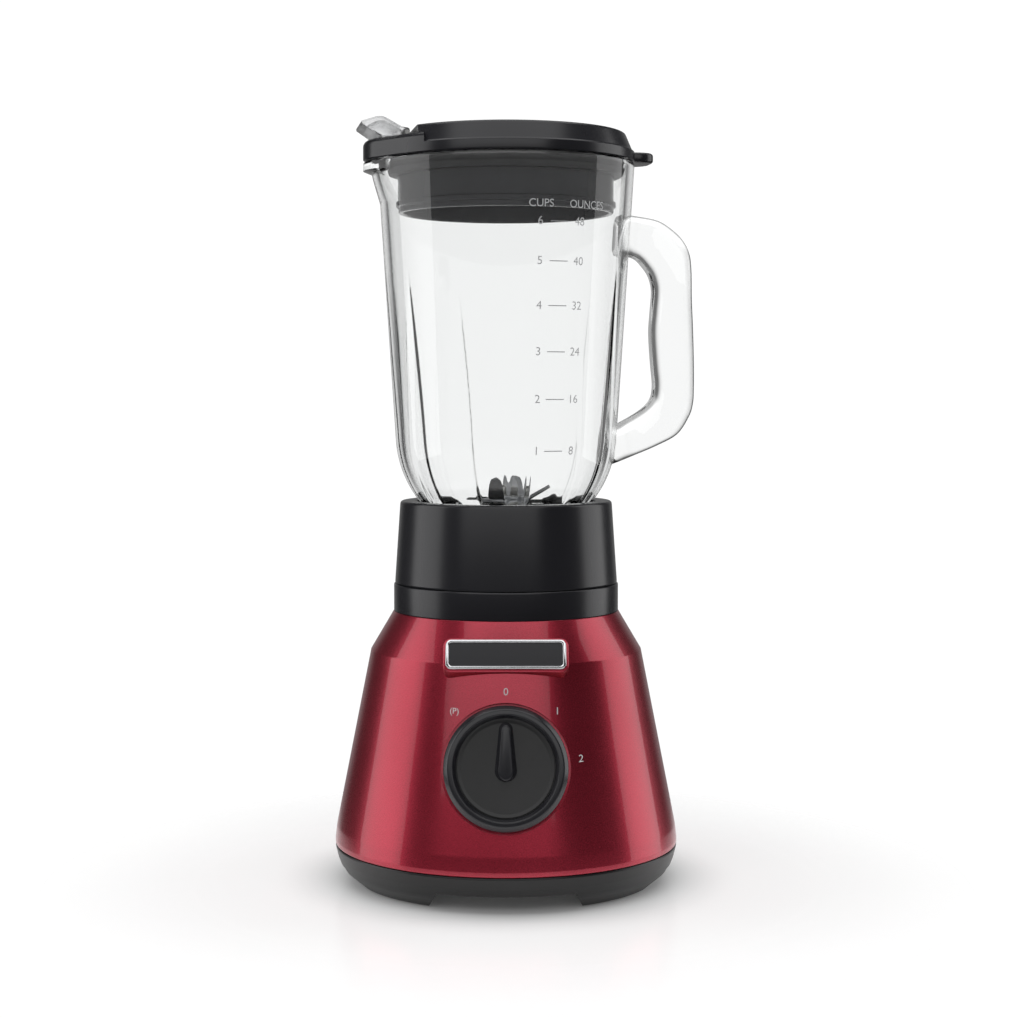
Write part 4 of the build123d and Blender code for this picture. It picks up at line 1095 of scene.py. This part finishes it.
@dataclass
class Cutter:
    """The hub, the two bevelled blades, the washer and the nut."""

    width: float = 12.0
    thickness: float = 1.6
    edge: float = 2.6
    bend_radius: float = 3.0
    upper: tuple[BladeArm, ...] = (BladeArm(-112.0, 9.5, 17.0, 10.5), BladeArm(68.0, 9.5, 17.0, 10.5))
    lower: tuple[BladeArm, ...] = (BladeArm(-12.0, 10.0, 23.5, 7.5), BladeArm(168.0, 10.0, 25.0, -0.5))

    def arm(self, shape: BladeArm, low: float) -> bmesh.types.BMesh:
        """One arm with a ground edge on both sides.

        Args:
            shape: how it is bent.
            low: the height of its root's underside.

        Returns:
            A closed mesh.
        """
        slope = math.atan2(shape.rise, shape.tip - shape.bend)
        side = math.copysign(1.0, slope)
        start = shape.bend - self.bend_radius * abs(math.tan(slope / 2))
        # Distance from the axis, rise, slope, and the share of the width to the left and right.
        stations = [(3.0, 0.0, 0.0, 1.0, 1.0)]
        for step in range(7):
            angle = slope * (step / 6)
            x = start + self.bend_radius * math.sin(abs(angle))
            z = side * self.bend_radius * (1 - math.cos(angle))
            stations.append((x, z, angle, 1.0, 1.0))
        bend_x, bend_z = stations[-1][:2]
        for t, left, right in ((0.35, 0.80, 0.92), (0.65, 0.60, 0.80), (0.88, 0.38, 0.66), (1.0, 0.22, 0.50)):
            x = bend_x + (shape.tip - bend_x) * t
            z = bend_z + (shape.rise - bend_z) * t
            stations.append((x, z, slope, left, right))
        rings = []
        for x, z, angle, left, right in stations:
            up = Vector((-math.sin(angle), 0.0, math.cos(angle)))
            base = Vector((x, 0.0, low + z))
            y0, y1 = -self.width / 2 * left, self.width / 2 * right
            cut = min(self.edge, (y1 - y0) * 0.42)
            rings.append(
                [
                    base + Vector((0, y0, 0)) + up * 0.15,
                    base + Vector((0, y0 + cut * 0.1, 0)),
                    base + Vector((0, y1 - cut * 0.1, 0)),
                    base + Vector((0, y1, 0)) + up * 0.15,
                    base + Vector((0, y1 - cut, 0)) + up * self.thickness,
                    base + Vector((0, y0 + cut, 0)) + up * self.thickness,
                ]
            )
        return moved(stacked(rings), about_z(shape.turn))

    def make(self) -> None:
        """Build the cutter and the hub that it turns in."""
        hub_low, hub_top = (corner.z for corner in mm_box("blade_holder"))
        web_top = web_level()
        hub = spun(
            softened(
                [
                    (12.5, hub_low, 0.5),
                    (12.5, web_top),
                    (24.0, web_top),
                    (24.0, web_top + 1.4, 0.6),
                    (17.0, web_top + 3.0, 4.0),
                    (12.5, hub_top - 6.0, 3.0),
                    (9.5, hub_top - 0.8, 1.5),
                    (7.5, hub_top, 0.6),
                    (5.0, hub_top, 0.3),
                    (5.0, hub_top - 2.0),
                    (7.0, hub_top - 2.0),
                    (7.0, hub_low),
                ],
                6,
            ),
            128,
        )
        piece("blade_hub", hub, "jar_base", Finish.SATIN, ["blade_holder"])
        for name, arms in (("lower_blade", self.lower), ("upper_blade", self.upper)):
            low = hub_top + 0.8 + (self.thickness if name == "upper_blade" else 0.0)
            high = low + self.thickness
            disc = spun(softened([(8.5, low, 0.15), (8.5, high, 0.3), (4.0, high), (4.0, low)], 2), 64)
            made = joined(disc, *[self.arm(shape, low) for shape in arms])
            piece(f"{name}_ground", made, "cutter", Finish.STEEL, [name], 20.0)
        low, top = (corner.z for corner in mm_box("blade_nut"))
        sides = [math.radians(60 * i) for i in range(6)]
        hexagon = prism([(6.2 * math.cos(a), 6.2 * math.sin(a)) for a in sides], low, top - 0.9)
        dome = [(0, top - 1.4), (5.2, top - 1.4), (5.2, top - 0.9, 0.3), (3.6, top, 0.8), (0, top)]
        nut = joined(round_edges(hexagon, 0.4, 3), spun(softened(dome), 64))
        piece("cap_nut", nut, "cutter", Finish.ZINC, ["blade_nut"])
        for node in ("blade_washer", "blade_shaft"):
            dress(node, Finish.ZINC)
        dress("driven_coupling", Finish.RUBBER)


# ------------------------------------------------------------------ jar


@dataclass
class JarShape:
    """The outline that the jar and the lid share."""

    belly_radius: float = 58.3
    belly_rise: float = 31.9
    neck_radius: float = 45.8
    rim_radius: float = 67.8
    wall: float = 4.0
    turn: float = 9.0
    spread: float = 33.0
    reach: float = 75.5
    print_lift: float = 0.05

    def __post_init__(self) -> None:
        """Work out levels from the CAD nodes."""
        self.collar_top = mm_box("jar_collar")[1].z
        self.neck_z = mm_box("jar_glass")[0].z
        self.rim_z = mm_box("jar_glass")[1].z
        self.neck_top = self.collar_top - 0.5
        self.belly_z = self.collar_top + self.belly_rise
        self.slope = (self.rim_radius - self.belly_radius) / (self.rim_z - self.belly_z)
        normal = Vector((-1.0, self.slope)).normalized()
        chord = Vector((self.neck_radius - self.belly_radius, self.neck_top - self.belly_z))
        self.arc = chord.length_squared / (2 * chord.dot(normal))
        self.arc_centre = Vector((self.belly_radius, self.belly_z)) + normal * self.arc
        self.spout_yaw = math.radians(self.turn + 180)

    def radius_at(self, z: float) -> float:
        """Outer radius of the glass at a height."""
        if z >= self.belly_z:
            return self.belly_radius + (z - self.belly_z) * self.slope
        if z > self.neck_top:
            drop = z - self.arc_centre.y
            return self.arc_centre.x + math.sqrt(max(self.arc**2 - drop**2, 0.0))
        return self.neck_radius

    def beak(self, yaw: float, radius: float, reach: float) -> float:
        """Distance from the axis to a round outline with a beak.

        Args:
            yaw: the direction from the spout's, in radians.
            radius: the round part's radius.
            reach: how far the beak's end stands from the axis.

        Returns:
            The distance in millimetres.
        """
        spread = math.radians(self.spread)
        yaw = abs(math.remainder(yaw, math.tau))
        if yaw >= spread or reach <= radius:
            return radius
        tip = (radius - reach * math.cos(spread)) / (1 - math.cos(spread))
        centre = reach - tip
        if yaw < math.atan2(tip * math.sin(spread), centre + tip * math.cos(spread)):
            return centre * math.cos(yaw) + math.sqrt(max(tip**2 - (centre * math.sin(yaw)) ** 2, 0.0))
        return radius / math.cos(spread - yaw)

    def beak_outline(self, radius: float, reach: float, steps: int = 240) -> list[Point]:
        """The beaked outline, as points in millimetres."""
        made = []
        for step in range(steps):
            yaw = math.tau * step / steps
            out = self.beak(yaw - self.spout_yaw, radius, reach)
            made.append((out * math.cos(yaw), out * math.sin(yaw)))
        return made

    def on_wall(self, azimuth: float, z: float) -> Vector:
        """A printed place on the glass, in metres, by its direction from the front towards +X."""
        out = self.radius_at(z) + self.print_lift
        angle = math.radians(azimuth)
        return Vector((out * math.sin(angle), -out * math.cos(angle), z)) * MM


@dataclass
class GlassJar:
    """The glass jar with its ribs, spout, handle and printed measures."""

    shape: JarShape
    steps: int = 480
    ribs: int = 12
    rib_turn: float = -3.0
    rib_depth: float = 0.95
    rib_half_angle: float = 8.5
    rib_flank: float = 3.0
    rib_far_flank: float = 6.5
    rib_top: float = 122.0
    printed_yaw: float = -56.0
    printed_half: float = 16.0
    printed_share: float = 0.3
    spout_height: float = 22.0
    lip_height: float = 5.8
    lip_overhang: float = 4.4
    drawn_rim: float = 377.2

    @property
    def lift(self) -> float:
        """How far the rim stands above the one that the handle and the marks are drawn for."""
        return self.shape.rim_z - self.drawn_rim

    def levels(self) -> list[float]:
        """Heights of the wall's rings, closer together where the shape turns."""
        s = self.shape
        spout, lip = s.rim_z - self.spout_height, s.rim_z - self.lip_height
        made = [s.neck_top]
        for end, count in ((s.belly_z, 16), (spout, 28), (lip - 0.6, 10)):
            start = made[-1]
            made += [start + (end - start) * i / count for i in range(1, count + 1)]
        return made + [lip - 0.2, lip + 0.2, lip + 0.7, lip + 1.5, s.rim_z - 2.2]

    def outline(self) -> list[Point]:
        """Half outline of the wall, up the outside and down the inside."""
        s = self.shape
        outer = [(s.neck_radius - 1.0, s.neck_z), (s.neck_radius, s.neck_z + 1.0)]
        for share in (0.35, 0.75):
            bead = s.neck_z + (s.neck_top - s.neck_z) * share
            profile = ((0.0, -0.6), (0.8, 0.2), (0.8, 1.2), (0.0, 2.0))
            outer += [(s.neck_radius + out, bead + up) for out, up in profile]
        outer += [(s.radius_at(z), z) for z in self.levels()]
        rim = []
        middle = s.rim_radius - s.wall / 2
        for step in range(9):
            angle = math.pi * step / 8
            rim.append((middle + s.wall / 2 * math.cos(angle), s.rim_z - 1.6 + 1.6 * math.sin(angle)))
        inner = [(s.radius_at(z) - s.wall, z) for z in reversed(self.levels())]
        bore = s.neck_radius - s.wall
        return outer + rim + inner + [(bore, s.neck_z + 1.0), (bore + 1.0, s.neck_z)]

    def shaped(self, vert: Vector) -> Vector:
        """Move one point of the round wall to the spout or to a rib.

        Args:
            vert: the point in millimetres.

        Returns:
            The moved point.
        """
        s = self.shape
        out, yaw, z = math.hypot(vert.x, vert.y), math.atan2(vert.y, vert.x), vert.z
        radius = s.radius_at(z)
        low = s.rim_z - self.spout_height
        depth = max(radius - out, 0.0)
        if z > low and out > radius - s.wall - 1.0:
            lip = s.rim_z - self.lip_height
            grow = min(1.0, (z - low) / (lip - low))
            reach = radius + (s.reach - self.lip_overhang - radius) * grow**1.15
            over = ease((z - lip + 0.4) / 1.2)
            outside = min(1.0, max(0.0, 1.0 - depth / s.wall))
            reach += self.lip_overhang * over * outside
            thick = s.wall * (1 - outside)
            out = s.beak(yaw - s.spout_yaw, radius - thick, reach - thick)
        elif depth > s.wall - 0.5 and z > s.neck_top + 1.0:
            pitch = math.tau / self.ribs
            off = math.remainder(yaw - math.radians(s.turn + self.rib_turn), pitch)
            rise = (z - s.collar_top) / self.rib_top
            half = math.radians(self.rib_half_angle) * max(0.0, 1.0 - max(rise, 0.0) ** 1.8) ** 0.9
            near, far = math.radians(self.rib_flank), math.radians(self.rib_far_flank)
            inside = min(ease((half - off) / near), ease((half + off) / far)) if rise < 1.0 else 0.0
            aside = abs(math.remainder(yaw - math.radians(self.printed_yaw), math.tau))
            printed = aside < math.radians(self.printed_half)
            out -= self.rib_depth * inside * (self.printed_share if printed else 1.0)
        return Vector((out * math.cos(yaw), out * math.sin(yaw), z))

    def handle(self) -> bmesh.types.BMesh:
        """The solid glass handle, as a swept bar with round corners."""
        s = self.shape
        # Outer and inner point as distance from the axis and height, then half the bar's width.
        pairs = [
            ((63.4, 350.6), (62.4, 329.3), 12.0), ((69.5, 350.0), (66.5, 329.0), 10.4),
            ((80.9, 348.0), (70.5, 327.3), 9.2), ((88.5, 343.6), (74.0, 323.6), 9.0),
            ((94.5, 338.0), (77.0, 319.5), 9.0), ((98.3, 331.0), (78.8, 314.5), 9.0),
            ((99.6, 322.0), (79.3, 309.0), 9.0), ((99.9, 306.0), (78.5, 299.0), 9.0),
            ((100.6, 290.0), (77.8, 288.0), 9.0), ((101.1, 272.0), (78.8, 272.0), 9.0),
            ((101.1, 258.0), (79.8, 261.5), 9.0), ((100.6, 250.5), (79.2, 255.0), 9.0),
            ((98.4, 243.5), (77.0, 250.8), 9.0), ((91.8, 234.0), (72.8, 247.0), 9.2),
            ((80.0, 227.8), (67.5, 243.6), 9.8), ((68.0, 223.0), (63.0, 241.0), 11.0),
            ((60.0, 220.0), (59.4, 238.7), 12.6), ((55.4, 218.4), (56.8, 237.6), 13.4),
        ]
        stations = []
        for index in range(len(pairs) - 1):
            window = [pairs[max(0, min(len(pairs) - 1, index + k))] for k in (-1, 0, 1, 2)]
            for step in range(5):
                t = step / 5
                # A smooth curve from the second to the third of four points.
                weights = (
                    -0.5 * t + t**2 - 0.5 * t**3,
                    1 - 2.5 * t**2 + 1.5 * t**3,
                    0.5 * t + 2 * t**2 - 1.5 * t**3,
                    -0.5 * t**2 + 0.5 * t**3,
                )
                outer = sum((Vector(p[0]) * w for p, w in zip(window, weights)), Vector((0.0, 0.0)))
                inner = sum((Vector(p[1]) * w for p, w in zip(window, weights)), Vector((0.0, 0.0)))
                half = sum(p[2] * w for p, w in zip(window, weights))
                stations.append((outer, inner, half))
        stations.append((Vector(pairs[-1][0]), Vector(pairs[-1][1]), pairs[-1][2]))
        rings = []
        for outer, inner, half in stations:
            middle, along = (outer + inner) / 2, (outer - inner)
            section = rounded_box(along.length, 2 * half, 5.6, 7)
            along.normalize()
            flats = [(middle + along * a, b) for a, b in section]
            rings.append([Vector((flat.x, b, flat.y + self.lift)) for flat, b in flats])
        return moved(stacked(rings), about_z(s.turn))

    def glass(self) -> None:
        """The wall, the spout, the ribs and the handle in one closed mesh."""
        wall = spun(self.outline(), self.steps)
        for vert in wall.verts:
            vert.co = self.shaped(vert.co / MM) * MM
        body = carved(wall, ("UNION", self.handle()))
        piece("glass_jar", body, "jar", Finish.GLASS, ["jar_glass"], 24.0)

    def measures(self) -> None:
        """The printed lines and figures."""
        rows = ((342.1, "6", "48"), (322.3, "5", "40"), (300.0, "4", "32"),
                (276.9, "3", "24"), (253.0, "2", "16"), (226.9, "1", "8"))
        s = self.shape
        parts = []

        def at(azimuth: float, z: float) -> Callable[[float, float], Vector]:
            """A wrapping function about one place on the glass."""
            def where(x: float, y: float) -> Vector:
                """A point of the print on the glass."""
                return s.on_wall(azimuth + math.degrees(x / s.radius_at(z)), z + y + self.lift)
            return where

        for z, cups, ounces in rows:
            dash = prism([(-5.0, -0.22), (5.0, -0.22), (5.0, 0.22), (-5.0, 0.22)], 0.0, 0.02)
            bmesh.ops.subdivide_edges(dash, edges=[e for e in dash.edges if e.calc_length() > 5 * MM], cuts=7)
            parts.append(wrapped(dash, at(24.3, z)))
            parts.append(wrapped(lettering(cups, 6.0), at(15.3, z)))
            parts.append(wrapped(lettering(ounces, 6.0), at(34.5, z)))
        parts.append(wrapped(lettering("CUPS", 5.6), at(15.6, 350.8)))
        parts.append(wrapped(lettering("OUNCES", 5.6), at(38.5, 350.8)))
        piece("printed_measures", joined(*parts), "jar", Finish.JAR_INK)

    def make(self) -> None:
        """Build the jar."""
        self.glass()
        self.measures()


# ------------------------------------------------------------------ lid


@dataclass
class Lid:
    """The black cover with its hood and tab, the seal, the pin and the clear flap."""

    shape: JarShape
    flange: float = 5.2
    crown: float = 15.2
    crown_low: float = 67.0
    crown_top: float = 64.0
    flat: float = 51.0
    hood: float = 10.5
    hood_round: float = 3.4
    plug: float = 56.7
    wall: float = 2.6
    plug_depth: float = 27.3
    tab_reach: float = 78.3
    tab_width: float = 26.0
    flap_half: float = 17.0
    flap_wall: float = 2.0
    slots: int = 5

    def __post_init__(self) -> None:
        """Work out levels from the jar's rim."""
        self.low = self.shape.rim_z + 0.3
        self.top = self.low + self.crown
        self.hood_z = self.low + self.hood
        self.turned = about_z(self.shape.turn)
        self.upright = self.turned @ Matrix.Rotation(math.radians(90), 4, "X")
        joint = next(j for j in frame["joints"] if j["name"] == "flap_open")
        pin = Vector(joint["pos_m"]) / MM
        self.pin_reach = math.hypot(pin.x, pin.y)
        self.pin_z = pin.z

    def crown_shell(self) -> bmesh.types.BMesh:
        """The round crown with its flange and its plug, cut flat on the spout's side."""
        low, top, step = self.low, self.top, self.low + self.flange
        rim, inner, skirt = self.shape.rim_radius, self.plug - self.wall, self.low - self.plug_depth
        outline = softened(
            [
                (0.0, top + 0.25),
                (self.crown_top - 20.0, top + 0.1),
                (self.crown_top - 1.2, top - 0.3, 2.2),
                (self.crown_low - 0.3, step + 0.4, 0.8),
                (rim, step, 0.8),
                (rim, low, 0.7),
                (self.plug, low, 0.6),
                (self.plug, skirt + 6.0, 0.3),
                (self.plug + 1.2, skirt + 5.6, 0.5),
                (self.plug + 1.2, skirt + 3.2, 0.5),
                (self.plug, skirt + 2.8, 0.3),
                (self.plug, skirt, 1.0),
                (inner, skirt, 1.0),
                (inner, step, 1.0),
                (inner - 6.0, top - self.wall - 0.4, 2.0),
                (0.0, top - self.wall - 0.4),
            ],
            5,
        )
        spout_side = self.block((-FAR, -self.flat), 90, (step - 0.2, top + 2))
        return carved(spun(outline), ("DIFFERENCE", spout_side))

    def crown_wall(self) -> bmesh.types.BMesh:
        """The upright wall that closes the crown where it is cut flat."""
        top, step = self.top, self.low + self.flange
        wall = self.block((-self.flat, -self.flat + self.wall), 44, (step - 1.0, top - 0.6))
        side = [(self.crown_low - 0.8, step - 1), (self.crown_top - 1.5, top - 0.5)]
        return carved(wall, ("INTERSECT", spun([(0, step - 1), *side, (0, top - 0.5)], 96)))

    def hood_shell(self) -> bmesh.types.BMesh:
        """The low hood over the spout, with a round upper edge."""
        levels = [(0.5, self.low + 0.02), (0.0, self.low + 0.5)]
        for step in range(8):
            angle = math.pi / 2 * step / 7
            inset = self.hood_round * (1 - math.cos(angle))
            levels.append((inset, self.hood_z - self.hood_round * (1 - math.sin(angle))))
        rings = []
        for inset, level in levels:
            beaked = self.shape.beak_outline(self.shape.rim_radius - inset, self.shape.reach - inset)
            rings.append([Vector((x, y, level)) for x, y in beaked])
        tab_side = self.block((-self.flat + 2.0, FAR), 90, (self.low - 1, self.top + 5))
        return carved(stacked(rings), ("DIFFERENCE", tab_side))

    def thumb_tab(self) -> bmesh.types.BMesh:
        """The rounded tab over the handle."""
        tab = prism(rounded_box(2 * self.tab_reach, self.tab_width, 9.0), self.low + 0.4, self.low + 5.6)
        rest = prism([(-FAR, -60), (60, -60), (60, 60), (-FAR, 60)], self.low - 1, self.top)
        return moved(round_edges(carved(tab, ("DIFFERENCE", rest)), 1.4, 4, 40.0), self.turned)

    def cover(self) -> None:
        """The cover in one mesh, with the pouring slots cut through it, and the flap's lug."""
        cuts = []
        wide = self.shape.rim_radius - self.plug - 2.0
        for slot in range(self.slots):
            across = (slot - (self.slots - 1) / 2) * 5.0
            spot = self.turned @ Matrix.Translation((-(self.plug + 1.5 + wide / 2) * MM, across * MM, 0))
            hole = prism(rounded_box(wide, 3.4, 1.65, 4), self.low - 2, self.hood_z + 2, spot)
            cuts.append(("DIFFERENCE", hole))
        welds = [("UNION", part) for part in (self.crown_wall(), self.hood_shell(), self.thumb_tab())]
        cover = carved(self.crown_shell(), *welds, *cuts)
        made = piece("lid_shell", cover, "lid", Finish.GLOSS, ["lid_cover"], 30.0)
        soften_edges(made, 0.45, 3, 38.0)
        lug = prism(self.eye(2.4), -self.flap_half + 8.0, self.flap_half - 8.0, self.upright)
        piece("flap_lug", lug, "lid", Finish.GLOSS)

    def block(self, across: Point, half: float, levels: Point) -> bmesh.types.BMesh:
        """A plain block that is turned with the lid.

        Args:
            across: where it starts and ends along the line from the spout to the tab.
            half: how far it reaches to each side of that line.
            levels: the heights of its underside and its top.

        Returns:
            A closed mesh.
        """
        start, end = across
        corners = [(start, -half), (end, -half), (end, half), (start, half)]
        return prism(corners, *levels, self.turned)

    def eye(self, radius: float) -> list[Point]:
        """Outline of an ear about the flap's pin, with its foot on the hood."""
        x, foot = -self.pin_reach, self.hood_z - 0.5
        angles = [math.pi * i / 16 for i in range(17)]
        arc = [(x + radius * math.cos(a), self.pin_z + radius * math.sin(a)) for a in angles]
        return arc + [(x - radius, foot), (x + radius, foot)]

    def seal(self) -> None:
        """The rubber ring with two lips against the glass."""
        top = self.low - 0.05
        out = mm_box("lid_seal")[1].x
        outline = softened(
            [
                (self.plug + 0.05, top),
                (out - 0.4, top, 0.6),
                (out, top - 1.4, 0.6),
                (out - 1.3, top - 2.4, 0.5),
                (out - 1.3, top - 3.6, 0.5),
                (out - 0.5, top - 4.8, 0.6),
                (out - 1.6, top - 7.9, 0.6),
                (self.plug + 0.05, top - 7.9),
            ],
            4,
        )
        piece("seal_ring", spun(outline), "lid", Finish.RUBBER, ["lid_seal"])

    def flap(self) -> None:
        """The clear cap over the pouring window."""
        low = self.hood_z + 0.4
        rim = self.shape.rim_radius
        peak = self.low + 21.8
        outline = softened(
            [
                (-self.pin_reach + 1.4, self.pin_z + 2.1, 1.6),
                (-self.pin_reach - 2.8, self.pin_z + 2.7, 2.0),
                (-rim + 1.5, peak - 0.5, 5.0),
                (-rim - 2.0, peak - 0.6, 4.0),
                (-78.0, peak - 3.2, 1.2),
                (-77.6, peak - 4.6, 0.6),
                (-rim - 0.5, low, 1.5),
                (-self.pin_reach + 1.4, low, 1.0),
            ],
            5,
        )
        half = self.flap_half
        outer = round_edges(prism(outline, -half, half), 1.1, 4, 50.0)
        w = self.flap_wall
        hollow = softened(
            [
                (-self.pin_reach - 2.6, self.pin_z + 1.0, 1.0),
                (-rim + 1.5, peak - 0.6 - w, 3.0),
                (-rim - 1.6, peak - 0.8 - w, 2.0),
                (-75.2, peak - 3.6 - w, 0.8),
                (-rim + 1.0, low + 0.4, 1.0),
                (-rim + 1.2, low - 3.0),
                (-self.pin_reach - 2.6, low - 3.0),
            ],
            5,
        )
        room = round_edges(prism(hollow, -half + w, half - w), 0.7, 3, 50.0)
        start, end = -self.pin_reach - 3.4, -self.pin_reach + 6
        ears = [(start, low - 4), (end, low - 4), (end, low + 14), (start, low + 14)]
        gap = prism(ears, -half + 7.6, half - 7.6)
        cap = moved(carved(outer, ("DIFFERENCE", room), ("DIFFERENCE", gap)), self.upright)
        piece("clear_flap", cap, "flap", Finish.CLEAR, ["pour_flap"], 30.0)
        dress("flap_hinge_pin", Finish.ZINC)

    def make(self) -> None:
        """Build the lid."""
        self.cover()
        self.seal()
        self.flap()


# ------------------------------------------------------------------ studio


@dataclass
class Studio:
    """Pale floor, soft lights, surroundings and the camera."""

    distance: float = 1.084
    height: float = 0.2573
    across: float = 0.0013
    pitch: float = 1.31
    shift: float = -0.07
    lens: float = 72.4
    floor_glow: float = 0.42
    mirrored: float = 0.3
    backdrop: float = 1.05
    aim: Point3 = (0.0, 0.0, 0.2)

    def floor(self) -> None:
        """A wide pale floor that glows white, with a painted contact shadow under the blender where its glow
        is darkened.
        """
        bm = bmesh.new()
        bmesh.ops.create_grid(bm, x_segments=1, y_segments=1, size=0.45)
        mesh = bpy.data.meshes.new("floor")
        bm.to_mesh(mesh)
        bm.free()
        s = Shader("floor_white")
        away = s.node("ShaderNodeVectorMath", {"operation": "LENGTH"}, [s.place()], "Value")
        mesh.materials.append(
            s.surface(
                Base_Color=(0.90, 0.90, 0.90, 1.0),
                Roughness=0.22,
                IOR=1.45,
                Alpha=1.0 - away.ramp(0.13, 0.32),
                # Painted contact shadow: the floor's glow is darkened almost to black within 0.065 m of the
                # middle, under the blender, and fades back to white by 0.125 m.
                Emission_Color=s.blend(away.ramp(0.065, 0.125), (0.08, 0.08, 0.08), (1.0, 1.0, 1.0)),
                Emission_Strength=self.floor_glow,
            )
        )
        made = bpy.data.objects.new("floor", mesh)
        bpy.context.scene.collection.objects.link(made)

    def light(self, name: str, place: Point3, size: Point, watts: float) -> None:
        """One softbox that faces the middle of the blender.

        Args:
            name: its name.
            place: where it stands, in metres.
            size: its width and height in metres.
            watts: its power.
        """
        data = bpy.data.lights.new(name, "AREA")
        data.shape = "RECTANGLE"
        data.size, data.size_y = size
        data.energy = watts
        made = bpy.data.objects.new(name, data)
        made.location = place
        made.rotation_euler = (Vector(self.aim) - Vector(place)).to_track_quat("-Z", "Y").to_euler()
        made.visible_camera = False
        made.visible_transmission = False
        bpy.context.scene.collection.objects.link(made)

    def world(self) -> None:
        """Surroundings that are white to the camera and partly dark to the pieces.

        What is seen through glass is bright ahead, behind and below, with a dark belt at the sides.
        All other rays see the light ahead, dimmed.
        """
        s = Shader("studio", world=True)
        way = s.node("ShaderNodeTexCoord", output="Generated")
        depth = s.node("ShaderNodeSeparateXYZ", inputs=[way], output="Y")
        height = s.node("ShaderNodeSeparateXYZ", inputs=[way], output="Z")
        ahead = depth.ramp(0.78, 0.965, 0.12, 1.0)
        behind = depth.ramp(0.45, 0.1, 0.0, 0.38)
        below = height.ramp(-0.10, -0.30, 0.0, 0.40)
        through = s.node("ShaderNodeLightPath", output="Is Transmission Ray")
        seen = s.node("ShaderNodeLightPath", output="Is Camera Ray")
        mix = {"data_type": "FLOAT"}
        inputs = {"Factor": through, 2: ahead * self.mirrored, 3: ahead + behind + below}
        inputs = {"Factor": seen, 2: s.node("ShaderNodeMix", mix, inputs), 3: self.backdrop}
        strength = s.node("ShaderNodeMix", mix, inputs)
        shade = s.node("ShaderNodeBackground", inputs={"Color": (1.0, 1.0, 1.0, 1.0), "Strength": strength})
        out = s.tree.nodes.new("ShaderNodeOutputWorld")
        s.tree.links.new(shade.link, out.inputs["Surface"])
        bpy.context.scene.world = s.owner

    def camera(self) -> None:
        """The camera, straight in front and tipped down a little."""
        data = bpy.data.cameras.new("camera")
        data.lens = self.lens
        data.shift_y = self.shift
        data.clip_start, data.clip_end = 0.05, 100.0
        made = bpy.data.objects.new("camera", data)
        made.location = (self.across, -self.distance, self.height)
        made.rotation_euler = (math.radians(90.0 - self.pitch), 0.0, 0.0)
        bpy.context.scene.collection.objects.link(made)
        bpy.context.scene.camera = made

    def make(self) -> None:
        """Build the studio."""
        self.floor()
        self.world()
        self.light("left_box", (-1.05, 0.0, 0.40), (0.80, 1.1), 4.2)
        self.light("right_box", (1.0, 0.25, 0.40), (0.70, 1.1), 3.6)
        self.light("front_box", (-0.2, -1.7, 0.85), (3.2, 0.9), 11.5)
        self.light("top_box", (0.0, -0.1, 1.35), (1.6, 1.6), 11.0)
        self.camera()
        settings = bpy.context.scene.view_settings
        settings.view_transform, settings.look = "Standard", "None"


def main() -> None:
    """Build the blender and its studio."""
    logging.basicConfig(level=logging.INFO, format="%(message)s")
    base = MotorBase()
    shape = JarShape()
    base.make()
    ControlKnob().make(base)
    JarCollar().make()
    Cutter().make()
    GlassJar(shape).make()
    Lid(shape).make()
    Studio().make()
    bpy.context.view_layer.update()


if __name__ == "__main__":
    main()
